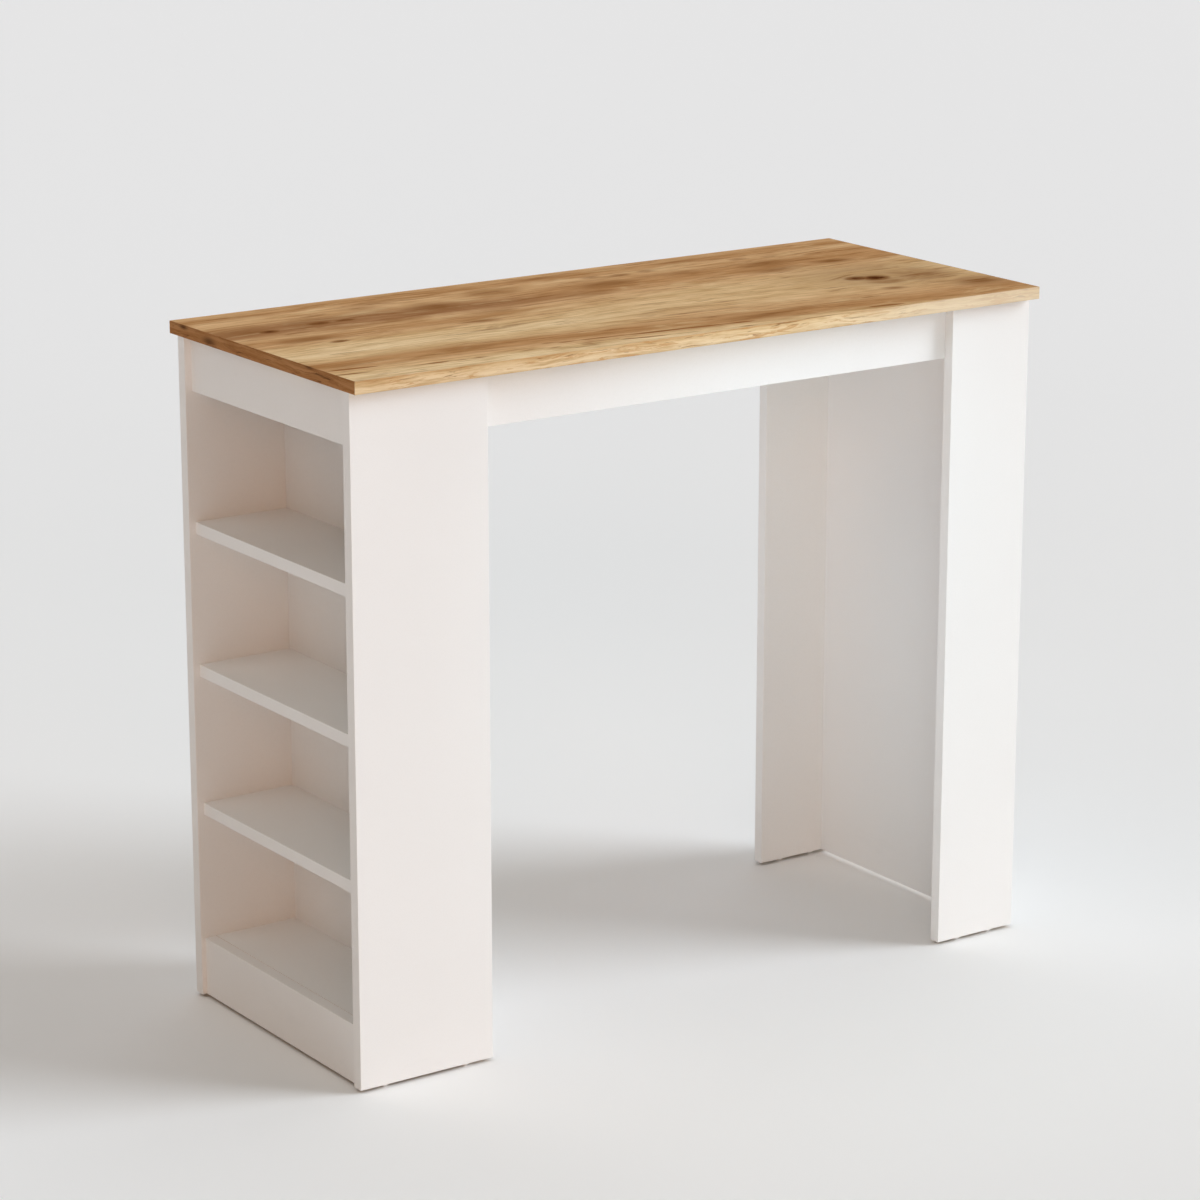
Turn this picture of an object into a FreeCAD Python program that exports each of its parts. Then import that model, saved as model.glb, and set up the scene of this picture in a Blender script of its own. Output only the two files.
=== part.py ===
import FreeCAD, Part
import Sketcher

import os

# Bar-height standing table in knock-down board construction. A wood-decor top lies on two
# pedestals: an open bookcase at the left end and a U-shaped leg at the right end, tied by aprons.
# Millimetres. The origin is on the floor under the middle of the top, +X runs along the table
# towards the leg, the front is at -Y and +Z is up.

DRIVING_SIZES = {
    # Whole table
    "top_length": 1170.0,
    "top_depth": 500.0,
    "table_height": 1000.0,
    "board": 18.0,
    "end_overhang": 2.0,
    "side_overhang": 19.0,
    "floor_gap": 5.0,
    # Bookcase pedestal
    "case_width": 216.0,
    "back_setback": 158.0,
    "shelf_inset": 10.5,
    "upper_shelf_top": 715.0,
    "middle_shelf_top": 505.0,
    "lower_shelf_top": 297.5,
    "plinth_inset": 7.0,
    "plinth_height": 86.0,
    # Leg pedestal
    "leg_width": 145.0,
    "web_setback": 121.5,
    # Aprons and top rail
    "rail_height": 78.0,
    # Edge bands
    "band": 1.0,
    "arris": 0.6,
    # Dowels
    "dowel_diameter": 8.0,
    "dowel_in_face": 11.0,
    "dowel_in_edge": 19.0,
    "dowel_shelf_inset": 35.0,
    "dowel_rail_inset": 21.0,
    "dowel_upright_inset": 45.0,
    # Cam fittings
    "cam_diameter": 15.0,
    "cam_depth": 12.5,
    "cam_reach": 24.0,
    "cam_upright_inset": 170.0,
    "cam_apron_inset": 53.0,
    "top_cam_spacing": 600.0,
    "slot_length": 9.0,
    "slot_width": 2.0,
    "slot_depth": 3.0,
    "bolt_diameter": 6.0,
    "bolt_in_face": 11.0,
    "cap_diameter": 17.0,
    "cap_thickness": 1.2,
    # Glides
    "glide_diameter": 14.0,
    "glide_foot_diameter": 8.0,
    "glide_flange": 2.0,
    "glide_inset": 42.0,
    "nail_diameter": 2.5,
    "nail_in_glide": 3.0,
    "nail_in_board": 14.0,
}

# Hidden rods and cams repeat many times, so they are drawn with a few flats instead of round.
ROD_FLATS = 8
CAM_FLATS = 16

# Lines of the table, as expressions on the sheet's cells
CASE_LEFT = "(Sizes.end_overhang - Sizes.top_length / 2)"
CASE_RIGHT = f"({CASE_LEFT} + Sizes.case_width)"
LEG_RIGHT = "(Sizes.top_length / 2 - Sizes.end_overhang)"
LEG_LEFT = f"({LEG_RIGHT} - Sizes.leg_width)"
FRONT_OUTER = "(Sizes.side_overhang - Sizes.top_depth / 2)"
FRONT_INNER = f"({FRONT_OUTER} + Sizes.board)"
REAR_OUTER = "(Sizes.top_depth / 2 - Sizes.side_overhang)"
REAR_INNER = f"({REAR_OUTER} - Sizes.board)"
INNER_WIDTH = f"({REAR_INNER} - {FRONT_INNER})"
FOOT = "Sizes.floor_gap"
UNDER_TOP = "(Sizes.table_height - Sizes.board)"
UPRIGHT_HEIGHT = f"({UNDER_TOP} - Sizes.floor_gap)"
BACK_INNER = f"({CASE_LEFT} + Sizes.back_setback)"
BACK_OUTER = f"({BACK_INNER} + Sizes.board)"
BACK_MIDDLE = f"({BACK_INNER} + Sizes.board / 2)"
WEB_INNER = f"({LEG_LEFT} + Sizes.web_setback)"
WEB_MIDDLE = f"({WEB_INNER} + Sizes.board / 2)"
WEB_OUTER = f"({WEB_INNER} + Sizes.board)"
APRON_LENGTH = f"({WEB_INNER} - {BACK_OUTER})"
RAIL_BOTTOM = f"({UNDER_TOP} - Sizes.rail_height)"
SHELF_FRONT = f"({CASE_LEFT} + Sizes.shelf_inset)"
PLINTH_FRONT = f"({CASE_LEFT} + Sizes.plinth_inset)"
PLINTH_INNER = f"({PLINTH_FRONT} + Sizes.board)"
PLINTH_TOP = "(Sizes.floor_gap + Sizes.plinth_height)"

AXES = "XYZ"
OPPOSITE = {"+X": "-X", "-X": "+X", "+Y": "-Y", "-Y": "+Y", "+Z": "-Z", "-Z": "+Z"}
DIRECTIONS = {
    "+X": FreeCAD.Vector(1, 0, 0),
    "-X": FreeCAD.Vector(-1, 0, 0),
    "+Y": FreeCAD.Vector(0, 1, 0),
    "-Y": FreeCAD.Vector(0, -1, 0),
    "+Z": FreeCAD.Vector(0, 0, 1),
    "-Z": FreeCAD.Vector(0, 0, -1),
}
# Plane across each axis, and the two axes that its sketches draw on
SKETCH_PLANES = {"X": ("YZ_Plane", 1, 2), "Y": ("XZ_Plane", 0, 2), "Z": ("XY_Plane", 0, 1)}

doc = FreeCAD.newDocument("StandingTable")
parts = {}


def make_sheet():
    """Writes the driving sizes to the sheet, one named cell each."""
    sheet = doc.addObject("Spreadsheet::Sheet", "Sizes")
    for row, (name, value) in enumerate(DRIVING_SIZES.items(), start=1):
        sheet.set(f"A{row}", name)
        sheet.set(f"B{row}", str(value))
        sheet.setAlias(f"B{row}", name)
    doc.recompute()


def moved(spot, direction, distance):
    """Returns the spot's expressions, moved by a distance along a signed axis."""
    changed = list(spot)
    index = AXES.index(direction[1])
    changed[index] = f"({spot[index]} {direction[0]} {distance})"
    return tuple(changed)


def place(piece, spot):
    """Binds a piece's position to three expressions."""
    for axis, expression in zip("xyz", spot):
        piece.setExpression(f"Placement.Base.{axis}", expression)


def draw_rectangle(sketch, width, height):
    """Draws a rectangle from the sketch's origin, with both sides bound."""
    corners = [
        FreeCAD.Vector(0, 0, 0),
        FreeCAD.Vector(100, 0, 0),
        FreeCAD.Vector(100, 50, 0),
        FreeCAD.Vector(0, 50, 0),
    ]
    count = len(corners)
    for i in range(count):
        sketch.addGeometry(Part.LineSegment(corners[i], corners[(i + 1) % count]), False)
    for i in range(count):
        sketch.addConstraint(Sketcher.Constraint("Coincident", i, 2, (i + 1) % count, 1))
        sketch.addConstraint(Sketcher.Constraint("Vertical" if i % 2 else "Horizontal", i))
    sketch.addConstraint(Sketcher.Constraint("Coincident", 0, 1, -1, 1))
    for name, kind, line, expression in (
        ("width", "DistanceX", 0, width),
        ("height", "DistanceY", 1, height),
    ):
        index = sketch.addConstraint(Sketcher.Constraint(kind, line, 1, line, 2, 50.0))
        sketch.renameConstraint(index, name)
        sketch.setExpression(f"Constraints.{name}", expression)


def board(label, corner, size, normal):
    """Makes a sawn board: an outline drawn across its normal axis, padded to its thickness.

    corner is the board's lowest corner, and size its extents along X, Y and Z.
    """
    body = doc.addObject("PartDesign::Body", label)
    role, wide, high = SKETCH_PLANES[normal]
    sketch = body.newObject("Sketcher::SketchObject", f"{label}_outline")
    plane = next(feature for feature in body.Origin.OriginFeatures if feature.Role == role)
    sketch.AttachmentSupport = [(plane, "")]
    sketch.MapMode = "FlatFace"
    draw_rectangle(sketch, size[wide], size[high])
    pad = body.newObject("PartDesign::Pad", f"{label}_pad")
    pad.Profile = sketch
    pad.setExpression("Length", size[AXES.index(normal)])
    # The XZ plane faces -Y, so that pad is turned round to grow along +Y.
    pad.Reversed = normal == "Y"
    place(body, corner)
    return body


def edge_band(label, corner, size, outward):
    """Makes an edge band: a thin strip whose two outer arrises are rounded over."""
    body = board(label, corner, size, outward[1])
    doc.recompute()
    pad = body.Tip
    outer_face = max(pad.Shape.Faces, key=lambda face: face.CenterOfMass.dot(DIRECTIONS[outward]))
    long_sides = sorted(outer_face.Edges, key=lambda edge: edge.Length)[-2:]
    arrises = []
    for number, edge in enumerate(pad.Shape.Edges, start=1):
        if any(edge.isSame(side) for side in long_sides):
            arrises.append(f"Edge{number}")
    fillet = body.newObject("PartDesign::Fillet", f"{label}_arris")
    fillet.Base = (pad, arrises)
    fillet.setExpression("Radius", "Sizes.arris")
    return body


def rod(label, spot, direction, diameter, length, flats=ROD_FLATS):
    """Makes a straight rod with a few flats, from a spot along a signed axis."""
    piece = doc.addObject("Part::Prism", label)
    piece.Polygon = flats
    piece.setExpression("Circumradius", f"{diameter} / 2")
    piece.setExpression("Height", length)
    turn = FreeCAD.Rotation(FreeCAD.Vector(0, 0, 1), DIRECTIONS[direction])
    piece.Placement = FreeCAD.Placement(FreeCAD.Vector(), turn)
    place(piece, spot)
    return piece


def disc(label, spot, direction, diameter, length):
    """Makes a round disc from a spot along a signed axis."""
    piece = doc.addObject("Part::Cylinder", label)
    piece.setExpression("Radius", f"{diameter} / 2")
    piece.setExpression("Height", length)
    turn = FreeCAD.Rotation(FreeCAD.Vector(0, 0, 1), DIRECTIONS[direction])
    piece.Placement = FreeCAD.Placement(FreeCAD.Vector(), turn)
    place(piece, spot)
    return piece


def group(label, pieces):
    """Gathers separate solids under one name."""
    compound = doc.addObject("Part::Compound", label)
    compound.Links = pieces
    return compound


def drilled(label, blank, fittings):
    """Cuts the seats of the fittings out of a blank."""
    cut = doc.addObject("Part::Cut", f"{label}_drilled")
    cut.Base = blank
    cut.Tool = group(f"{label}_seats", fittings)
    return cut


def hand_in(label, piece):
    """Names a finished sub-part, which is written to a file of that name."""
    piece.Label = label
    parts[label] = piece


def dowel(label, joint, into):
    """Makes a dowel across a joint: joint is the spot where an edge meets a face."""
    start = moved(joint, OPPOSITE[into], "Sizes.dowel_in_face")
    length = "Sizes.dowel_in_face + Sizes.dowel_in_edge"
    return rod(label, start, into, "Sizes.dowel_diameter", length)


def slot_block(label, middle, face, along):
    """Makes the block that a screwdriver slot takes out of a cam's open end."""
    block = doc.addObject("Part::Box", label)
    extents = {axis: "Sizes.slot_width" for axis in AXES}
    extents[along[1]] = "Sizes.slot_length"
    extents[face[1]] = "Sizes.slot_depth"
    corner = middle
    for axis in AXES:
        if axis != face[1]:
            corner = moved(corner, f"-{axis}", f"{extents[axis]} / 2")
    if face[0] == "+":
        corner = moved(corner, f"-{face[1]}", "Sizes.slot_depth")
    for side, axis in zip(("Length", "Width", "Height"), AXES):
        block.setExpression(side, extents[axis])
    place(block, corner)
    return block


class CamFitting:
    """One cam and its connecting bolt.

    joint is the spot in the middle of the board's edge, into points from the joint into the board
    that holds the cam, and face points out of the side of that board where the cam is fitted.
    """

    def __init__(self, label, joint, into, face):
        start = moved(joint, OPPOSITE[into], "Sizes.bolt_in_face")
        length = "Sizes.bolt_in_face + Sizes.cam_reach"
        self.bolt = rod(f"{label}_bolt", start, into, "Sizes.bolt_diameter", length)
        self.open_end = moved(moved(joint, into, "Sizes.cam_reach"), face, "Sizes.board / 2")
        self.seat = rod(
            f"{label}_cam",
            self.open_end,
            OPPOSITE[face],
            "Sizes.cam_diameter",
            "Sizes.cam_depth",
            CAM_FLATS,
        )
        slot = slot_block(f"{label}_slot", self.open_end, face, into)
        self.cam = drilled(f"{label}_cam", self.seat, [self.bolt, slot])
        self.face = face

    def cover_cap(self, label):
        """Makes the cap that covers the cam's open end."""
        return disc(label, self.open_end, self.face, "Sizes.cap_diameter", "Sizes.cap_thickness")


def hand_in_cams(label, fittings, capped):
    """Hands in a row of cam fittings as groups of cams, bolts and, where they show, caps."""
    hand_in(f"{label}_cams", group(f"{label}_cam_group", [fitting.cam for fitting in fittings]))
    hand_in(f"{label}_bolts", group(f"{label}_bolt_group", [fitting.bolt for fitting in fittings]))
    if capped:
        caps = [fitting.cover_cap(f"{label}_cap_{i}") for i, fitting in enumerate(fittings)]
        hand_in(f"{label}_cam_caps", group(f"{label}_cap_group", caps))


def seats(fittings):
    """Returns the solids that a row of cam fittings takes out of the boards."""
    return [fitting.bolt for fitting in fittings] + [fitting.seat for fitting in fittings]


make_sheet()

# The joints come first, because every board is drilled for the fittings that cross into it.
# Two uprights face each other in both pedestals: (name, inner face, direction into the cross board)
UPRIGHT_SIDES = (("front", FRONT_INNER, "+Y"), ("rear", REAR_INNER, "-Y"))

# Shelf dowels: two in each end of each shelf
SHELF_TOPS = {
    "upper_shelf": "Sizes.upper_shelf_top",
    "middle_shelf": "Sizes.middle_shelf_top",
    "lower_shelf": "Sizes.lower_shelf_top",
    "bottom_shelf": PLINTH_TOP,
}
SHELF_EDGES = {name: SHELF_FRONT for name in SHELF_TOPS}
SHELF_EDGES["bottom_shelf"] = PLINTH_INNER
case_dowels = {"front": [], "rear": []}
shelf_dowels = {name: [] for name in SHELF_TOPS}
for shelf, top in SHELF_TOPS.items():
    rows = (
        f"({SHELF_EDGES[shelf]} + Sizes.dowel_shelf_inset)",
        f"({BACK_INNER} - Sizes.dowel_shelf_inset)",
    )
    for side, inner, into in UPRIGHT_SIDES:
        for i, x in enumerate(rows):
            joint = (x, inner, f"({top} - Sizes.board / 2)")
            peg = dowel(f"{shelf}_{side}_dowel_{i}", joint, into)
            shelf_dowels[shelf].append(peg)
            case_dowels[side].append(peg)
fixed_shelves = [name for name in SHELF_TOPS if name != "bottom_shelf"]
fixed_shelf_dowels = sum((shelf_dowels[name] for name in fixed_shelves), [])
hand_in("shelf_dowels", group("shelf_dowel_group", fixed_shelf_dowels))
hand_in("bottom_shelf_dowels", group("bottom_shelf_dowel_group", shelf_dowels["bottom_shelf"]))

# Rail and plinth dowels: two in each end, one above the other
upright_strips = {
    "top_rail": (f"({SHELF_FRONT} + Sizes.board / 2)", RAIL_BOTTOM, UNDER_TOP),
    "plinth": (f"({PLINTH_FRONT} + Sizes.board / 2)", FOOT, PLINTH_TOP),
}
strip_dowels = {name: [] for name in upright_strips}
for strip, (x, low, high) in upright_strips.items():
    levels = (f"({low} + Sizes.dowel_rail_inset)", f"({high} - Sizes.dowel_rail_inset)")
    for side, inner, into in UPRIGHT_SIDES:
        for i, z in enumerate(levels):
            peg = dowel(f"{strip}_{side}_dowel_{i}", (x, inner, z), into)
            strip_dowels[strip].append(peg)
            case_dowels[side].append(peg)
    hand_in(f"{strip}_dowels", group(f"{strip}_dowel_group", strip_dowels[strip]))

# Cams that pull the uprights onto the bookcase's back board and onto the leg's web board
CAM_LEVELS = (f"({FOOT} + Sizes.cam_upright_inset)", f"({UNDER_TOP} - Sizes.cam_upright_inset)")
cross_cams = {}
cross_bolts = {"back_panel": {"front": [], "rear": []}, "web": {"front": [], "rear": []}}
for name, x in (("back_panel", BACK_MIDDLE), ("web", WEB_MIDDLE)):
    cross_cams[name] = []
    for side, inner, into in UPRIGHT_SIDES:
        for i, z in enumerate(CAM_LEVELS):
            fitting = CamFitting(f"{name}_{side}_{i}", (x, inner, z), into, "+X")
            cross_cams[name].append(fitting)
            cross_bolts[name][side].append(fitting.bolt)
    hand_in_cams(name, cross_cams[name], capped=True)

# Apron ends: one dowel and one cam each, and two cams that draw the top down onto each apron
APRON_SIDES = (
    ("front", f"({FRONT_INNER} + Sizes.board / 2)", "+Y"),
    ("rear", f"({REAR_INNER} - Sizes.board / 2)", "-Y"),
)
APRON_ENDS = (("case", BACK_OUTER, "+X"), ("leg", WEB_INNER, "-X"))
apron_dowels = {"front": [], "rear": []}
apron_cams = {"front": [], "rear": []}
top_cams = {"front": [], "rear": []}
end_fittings = {"case": [], "leg": []}
for side, y, face in APRON_SIDES:
    for end, x, into in APRON_ENDS:
        dowel_level = f"({RAIL_BOTTOM} + Sizes.dowel_rail_inset)"
        cam_level = f"({RAIL_BOTTOM} + Sizes.cam_apron_inset)"
        peg = dowel(f"{side}_apron_{end}_dowel", (x, y, dowel_level), into)
        fitting = CamFitting(f"{side}_apron_{end}", (x, y, cam_level), into, face)
        apron_dowels[side].append(peg)
        apron_cams[side].append(fitting)
        end_fittings[end] += [peg, fitting.bolt]
    for i, sign in enumerate("-+"):
        joint = (f"({sign} Sizes.top_cam_spacing / 2)", y, UNDER_TOP)
        top_cams[side].append(CamFitting(f"top_{side}_{i}", joint, "-Z", face))
hand_in("apron_dowels", group("apron_dowel_group", apron_dowels["front"] + apron_dowels["rear"]))
hand_in_cams("apron", apron_cams["front"] + apron_cams["rear"], capped=False)
hand_in_cams("top_fixing", top_cams["front"] + top_cams["rear"], capped=False)

# Dowels that locate the top on the four uprights, and the nailed glides under them
PEDESTALS = (("bookcase", CASE_LEFT, CASE_RIGHT), ("leg", LEG_LEFT, LEG_RIGHT))
top_dowels = {}
nails = {}
glides = {"bookcase": [], "leg": []}
for pedestal, left, right in PEDESTALS:
    for side, inner, into in UPRIGHT_SIDES:
        upright = (pedestal, side)
        y = moved((0, inner, 0), OPPOSITE[into], "Sizes.board / 2")[1]
        top_dowels[upright] = []
        nails[upright] = []
        for i, (edge, sign) in enumerate(((left, "+"), (right, "-"))):
            name = f"{pedestal}_{side}_{i}"
            x = f"({edge} {sign} Sizes.dowel_upright_inset)"
            top_dowels[upright].append(dowel(f"{name}_top_dowel", (x, y, UNDER_TOP), "-Z"))
            x = f"({edge} {sign} Sizes.glide_inset)"
            nail = rod(
                f"{name}_nail",
                (x, y, "(Sizes.floor_gap - Sizes.nail_in_glide)"),
                "+Z",
                "Sizes.nail_diameter",
                "Sizes.nail_in_glide + Sizes.nail_in_board",
            )
            nails[upright].append(nail)
            flange = disc(
                f"{name}_flange", (x, y, FOOT), "-Z", "Sizes.glide_diameter", "Sizes.glide_flange"
            )
            sole = doc.addObject("Part::Cone", f"{name}_sole")
            sole.setExpression("Radius1", "Sizes.glide_foot_diameter / 2")
            sole.setExpression("Radius2", "Sizes.glide_diameter / 2")
            sole.setExpression("Height", "Sizes.floor_gap - Sizes.glide_flange")
            place(sole, (x, y, "0"))
            glide = doc.addObject("Part::Fuse", f"{name}_glide")
            glide.Base = flange
            glide.Tool = sole
            glides[pedestal].append(drilled(f"{name}_glide", glide, [nail]))
hand_in("top_dowels", group("top_dowel_group", sum(top_dowels.values(), [])))
hand_in("glide_nails", group("nail_group", sum(nails.values(), [])))
for pedestal, pieces in glides.items():
    hand_in(f"{pedestal}_glides", group(f"{pedestal}_glide_group", pieces))

# Table top: a core board with bands on its four edges
top_corner = ("(Sizes.band - Sizes.top_length / 2)", "(Sizes.band - Sizes.top_depth / 2)", UNDER_TOP)
top_size = ("Sizes.top_length - 2 * Sizes.band", "Sizes.top_depth - 2 * Sizes.band", "Sizes.board")
top_fittings = sum(top_dowels.values(), [])
for fittings in top_cams.values():
    top_fittings += [fitting.bolt for fitting in fittings]
blank = board("table_top_blank", top_corner, top_size, "Z")
hand_in("table_top", drilled("table_top", blank, top_fittings))
long_bands = []
end_bands = []
for sign, name in (("-", "low"), ("+", "high")):
    inward = "0" if sign == "-" else "Sizes.band"
    long_bands.append(
        edge_band(
            f"top_long_band_{name}",
            ("(- Sizes.top_length / 2)", f"({sign} Sizes.top_depth / 2 - {inward})", UNDER_TOP),
            ("Sizes.top_length", "Sizes.band", "Sizes.board"),
            f"{sign}Y",
        )
    )
    end_bands.append(
        edge_band(
            f"top_end_band_{name}",
            (f"({sign} Sizes.top_length / 2 - {inward})", top_corner[1], UNDER_TOP),
            ("Sizes.band", top_size[1], "Sizes.board"),
            f"{sign}X",
        )
    )
hand_in("top_long_edge_bands", group("top_long_band_group", long_bands))
hand_in("top_end_edge_bands", group("top_end_band_group", end_bands))

# Uprights of both pedestals: core boards banded on their two standing edges
upright_fittings = {
    ("bookcase", "front"): case_dowels["front"] + cross_bolts["back_panel"]["front"],
    ("bookcase", "rear"): case_dowels["rear"] + cross_bolts["back_panel"]["rear"],
    ("leg", "front"): cross_bolts["web"]["front"],
    ("leg", "rear"): cross_bolts["web"]["rear"],
}
UPRIGHT_NAMES = {
    ("bookcase", "front"): "bookcase_front_side",
    ("bookcase", "rear"): "bookcase_rear_side",
    ("leg", "front"): "leg_front_panel",
    ("leg", "rear"): "leg_rear_panel",
}
for pedestal, left, right in PEDESTALS:
    bands = []
    for side, y in (("front", FRONT_OUTER), ("rear", REAR_INNER)):
        upright = (pedestal, side)
        label = UPRIGHT_NAMES[upright]
        core = board(
            f"{label}_blank",
            (f"({left} + Sizes.band)", y, FOOT),
            (f"{right} - {left} - 2 * Sizes.band", "Sizes.board", UPRIGHT_HEIGHT),
            "Y",
        )
        fittings = upright_fittings[upright] + top_dowels[upright] + nails[upright]
        hand_in(label, drilled(label, core, fittings))
        band_size = ("Sizes.band", "Sizes.board", UPRIGHT_HEIGHT)
        right_corner = (f"({right} - Sizes.band)", y, FOOT)
        bands.append(edge_band(f"{label}_left_band", (left, y, FOOT), band_size, "-X"))
        bands.append(edge_band(f"{label}_right_band", right_corner, band_size, "+X"))
    hand_in(f"{pedestal}_upright_edge_bands", group(f"{pedestal}_band_group", bands))

# Cross boards that close the two pedestals
for label, x, name, end in (
    ("bookcase_back_panel", BACK_INNER, "back_panel", "case"),
    ("leg_web_panel", WEB_INNER, "web", "leg"),
):
    cross_size = ("Sizes.board", INNER_WIDTH, UPRIGHT_HEIGHT)
    blank = board(f"{label}_blank", (x, FRONT_INNER, FOOT), cross_size, "X")
    hand_in(label, drilled(label, blank, seats(cross_cams[name]) + end_fittings[end]))

# Shelves: three banded along the open edge, and the bottom one that butts on the plinth
shelf_bands = []
for shelf in fixed_shelves:
    low = f"({SHELF_TOPS[shelf]} - Sizes.board)"
    blank = board(
        f"{shelf}_blank",
        (f"({SHELF_FRONT} + Sizes.band)", FRONT_INNER, low),
        (f"{BACK_INNER} - {SHELF_FRONT} - Sizes.band", INNER_WIDTH, "Sizes.board"),
        "Z",
    )
    hand_in(shelf, drilled(shelf, blank, shelf_dowels[shelf]))
    band_size = ("Sizes.band", INNER_WIDTH, "Sizes.board")
    shelf_bands.append(edge_band(f"{shelf}_band", (SHELF_FRONT, FRONT_INNER, low), band_size, "-X"))
hand_in("shelf_edge_bands", group("shelf_band_group", shelf_bands))
blank = board(
    "bottom_shelf_blank",
    (PLINTH_INNER, FRONT_INNER, f"({PLINTH_TOP} - Sizes.board)"),
    (f"{BACK_INNER} - {PLINTH_INNER}", INNER_WIDTH, "Sizes.board"),
    "Z",
)
hand_in("bottom_shelf", drilled("bottom_shelf", blank, shelf_dowels["bottom_shelf"]))

# Top rail, banded below, and plinth, banded above
strip_size = ("Sizes.board", INNER_WIDTH, "Sizes.rail_height - Sizes.band")
strip_corner = (SHELF_FRONT, FRONT_INNER, f"({RAIL_BOTTOM} + Sizes.band)")
blank = board("top_rail_blank", strip_corner, strip_size, "X")
hand_in("bookcase_top_rail", drilled("bookcase_top_rail", blank, strip_dowels["top_rail"]))
strip_size = ("Sizes.board", INNER_WIDTH, "Sizes.plinth_height - Sizes.band")
blank = board("plinth_blank", (PLINTH_FRONT, FRONT_INNER, FOOT), strip_size, "X")
hand_in("plinth_board", drilled("plinth_board", blank, strip_dowels["plinth"]))
band_size = ("Sizes.board", INNER_WIDTH, "Sizes.band")
rail_band = edge_band("rail_band", (SHELF_FRONT, FRONT_INNER, RAIL_BOTTOM), band_size, "-Z")
plinth_band_corner = (PLINTH_FRONT, FRONT_INNER, f"({PLINTH_TOP} - Sizes.band)")
plinth_band = edge_band("plinth_band", plinth_band_corner, band_size, "+Z")
hand_in("rail_edge_band", rail_band)
hand_in("plinth_edge_band", plinth_band)

# Aprons, banded below, run inside the uprights from the back board to the web board
apron_bands = []
for side, y in (("front", FRONT_INNER), ("rear", f"({REAR_INNER} - Sizes.board)")):
    label = f"{side}_apron"
    blank = board(
        f"{label}_blank",
        (BACK_OUTER, y, f"({RAIL_BOTTOM} + Sizes.band)"),
        (APRON_LENGTH, "Sizes.board", "Sizes.rail_height - Sizes.band"),
        "Y",
    )
    fittings = apron_dowels[side] + seats(apron_cams[side]) + seats(top_cams[side])
    hand_in(label, drilled(label, blank, fittings))
    band_size = (APRON_LENGTH, "Sizes.board", "Sizes.band")
    apron_bands.append(edge_band(f"{label}_band", (BACK_OUTER, y, RAIL_BOTTOM), band_size, "-Z"))
hand_in("apron_edge_bands", group("apron_band_group", apron_bands))

doc.recompute()
for thing in doc.Objects:
    if "Invalid" in thing.State or "Error" in thing.State:
        raise RuntimeError(f"{thing.Label} did not build: {thing.State}")
for label, piece in parts.items():
    if piece.Shape.isNull() or not piece.Shape.isValid():
        raise RuntimeError(f"{label} has no valid shape")

os.makedirs("parts", exist_ok=True)
for label, piece in parts.items():
    piece.Shape.exportStep(f"parts/{label}.step")
    print(f"{label}: {len(piece.Shape.Solids)} solids, {piece.Shape.Volume / 1000:.1f} cm3")
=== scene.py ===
"""Looks of the standing table, built around its packed boards.

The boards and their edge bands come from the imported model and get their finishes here. The small turned and
cast fittings are modelled in detail, and a plain studio and the camera complete the scene.
"""

import logging
import math
from dataclasses import dataclass, field
from enum import Enum
from typing import Iterable, Optional, Sequence, Union

import bmesh
import bpy
from mathutils import Matrix, Vector


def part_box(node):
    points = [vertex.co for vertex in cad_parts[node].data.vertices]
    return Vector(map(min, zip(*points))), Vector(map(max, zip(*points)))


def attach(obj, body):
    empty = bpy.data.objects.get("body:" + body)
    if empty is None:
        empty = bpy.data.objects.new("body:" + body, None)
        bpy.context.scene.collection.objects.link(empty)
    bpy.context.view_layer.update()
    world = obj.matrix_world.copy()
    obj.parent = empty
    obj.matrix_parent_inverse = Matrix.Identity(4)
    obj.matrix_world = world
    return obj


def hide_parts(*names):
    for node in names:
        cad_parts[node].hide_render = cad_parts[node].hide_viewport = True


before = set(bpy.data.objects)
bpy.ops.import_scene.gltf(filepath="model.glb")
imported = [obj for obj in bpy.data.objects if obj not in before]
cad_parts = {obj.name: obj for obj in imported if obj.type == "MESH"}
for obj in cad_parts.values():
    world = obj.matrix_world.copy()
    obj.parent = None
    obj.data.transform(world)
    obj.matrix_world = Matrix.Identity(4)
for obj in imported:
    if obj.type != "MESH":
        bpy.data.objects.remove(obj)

log = logging.getLogger("standing_table")

ROOT_BODY = "root"
MM = 0.001
# Points closer than this are one point.
WELD = 0.001 * MM
# Edges that turn more sharply than this stay sharp in the shading.
CREASE = math.radians(32)
# A face looks up when its normal's upward part is above this.
LOOKS_UP = 0.99

Colour = tuple[float, float, float]
Point = tuple[float, float, float]
Stops = Sequence[tuple[float, Colour]]
Socket = bpy.types.NodeSocket
Signal = Union[Socket, float, Colour]
Material = bpy.types.Material
Solid = bmesh.types.BMesh


def screen(red: int, green: int, blue: int) -> Colour:
    """Turns a colour as a screen shows it into linear light.

    Args:
        red: Red from 0 to 255.
        green: Green from 0 to 255.
        blue: Blue from 0 to 255.

    Returns:
        The colour's linear red, green and blue.
    """

    def linear(value: int) -> float:
        """Undoes the screen's curve for one channel."""
        share = value / 255
        return share / 12.92 if share <= 0.04045 else ((share + 0.055) / 1.055) ** 2.4

    return linear(red), linear(green), linear(blue)


def shaded(colour: Colour, factor: float) -> Colour:
    """Returns a colour made darker or lighter by a factor."""
    return tuple(channel * factor for channel in colour)


def direction(bearing: float, height: float) -> Vector:
    """Points somewhere in the table's frame.

    Args:
        bearing: Degrees round the upright axis, from the X axis.
        height: Degrees above the floor.

    Returns:
        The direction, one metre long.
    """
    turn = math.radians(bearing)
    tilt = math.radians(height)
    return Vector((math.cos(turn) * math.cos(tilt), math.sin(turn) * math.cos(tilt), math.sin(tilt)))


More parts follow.
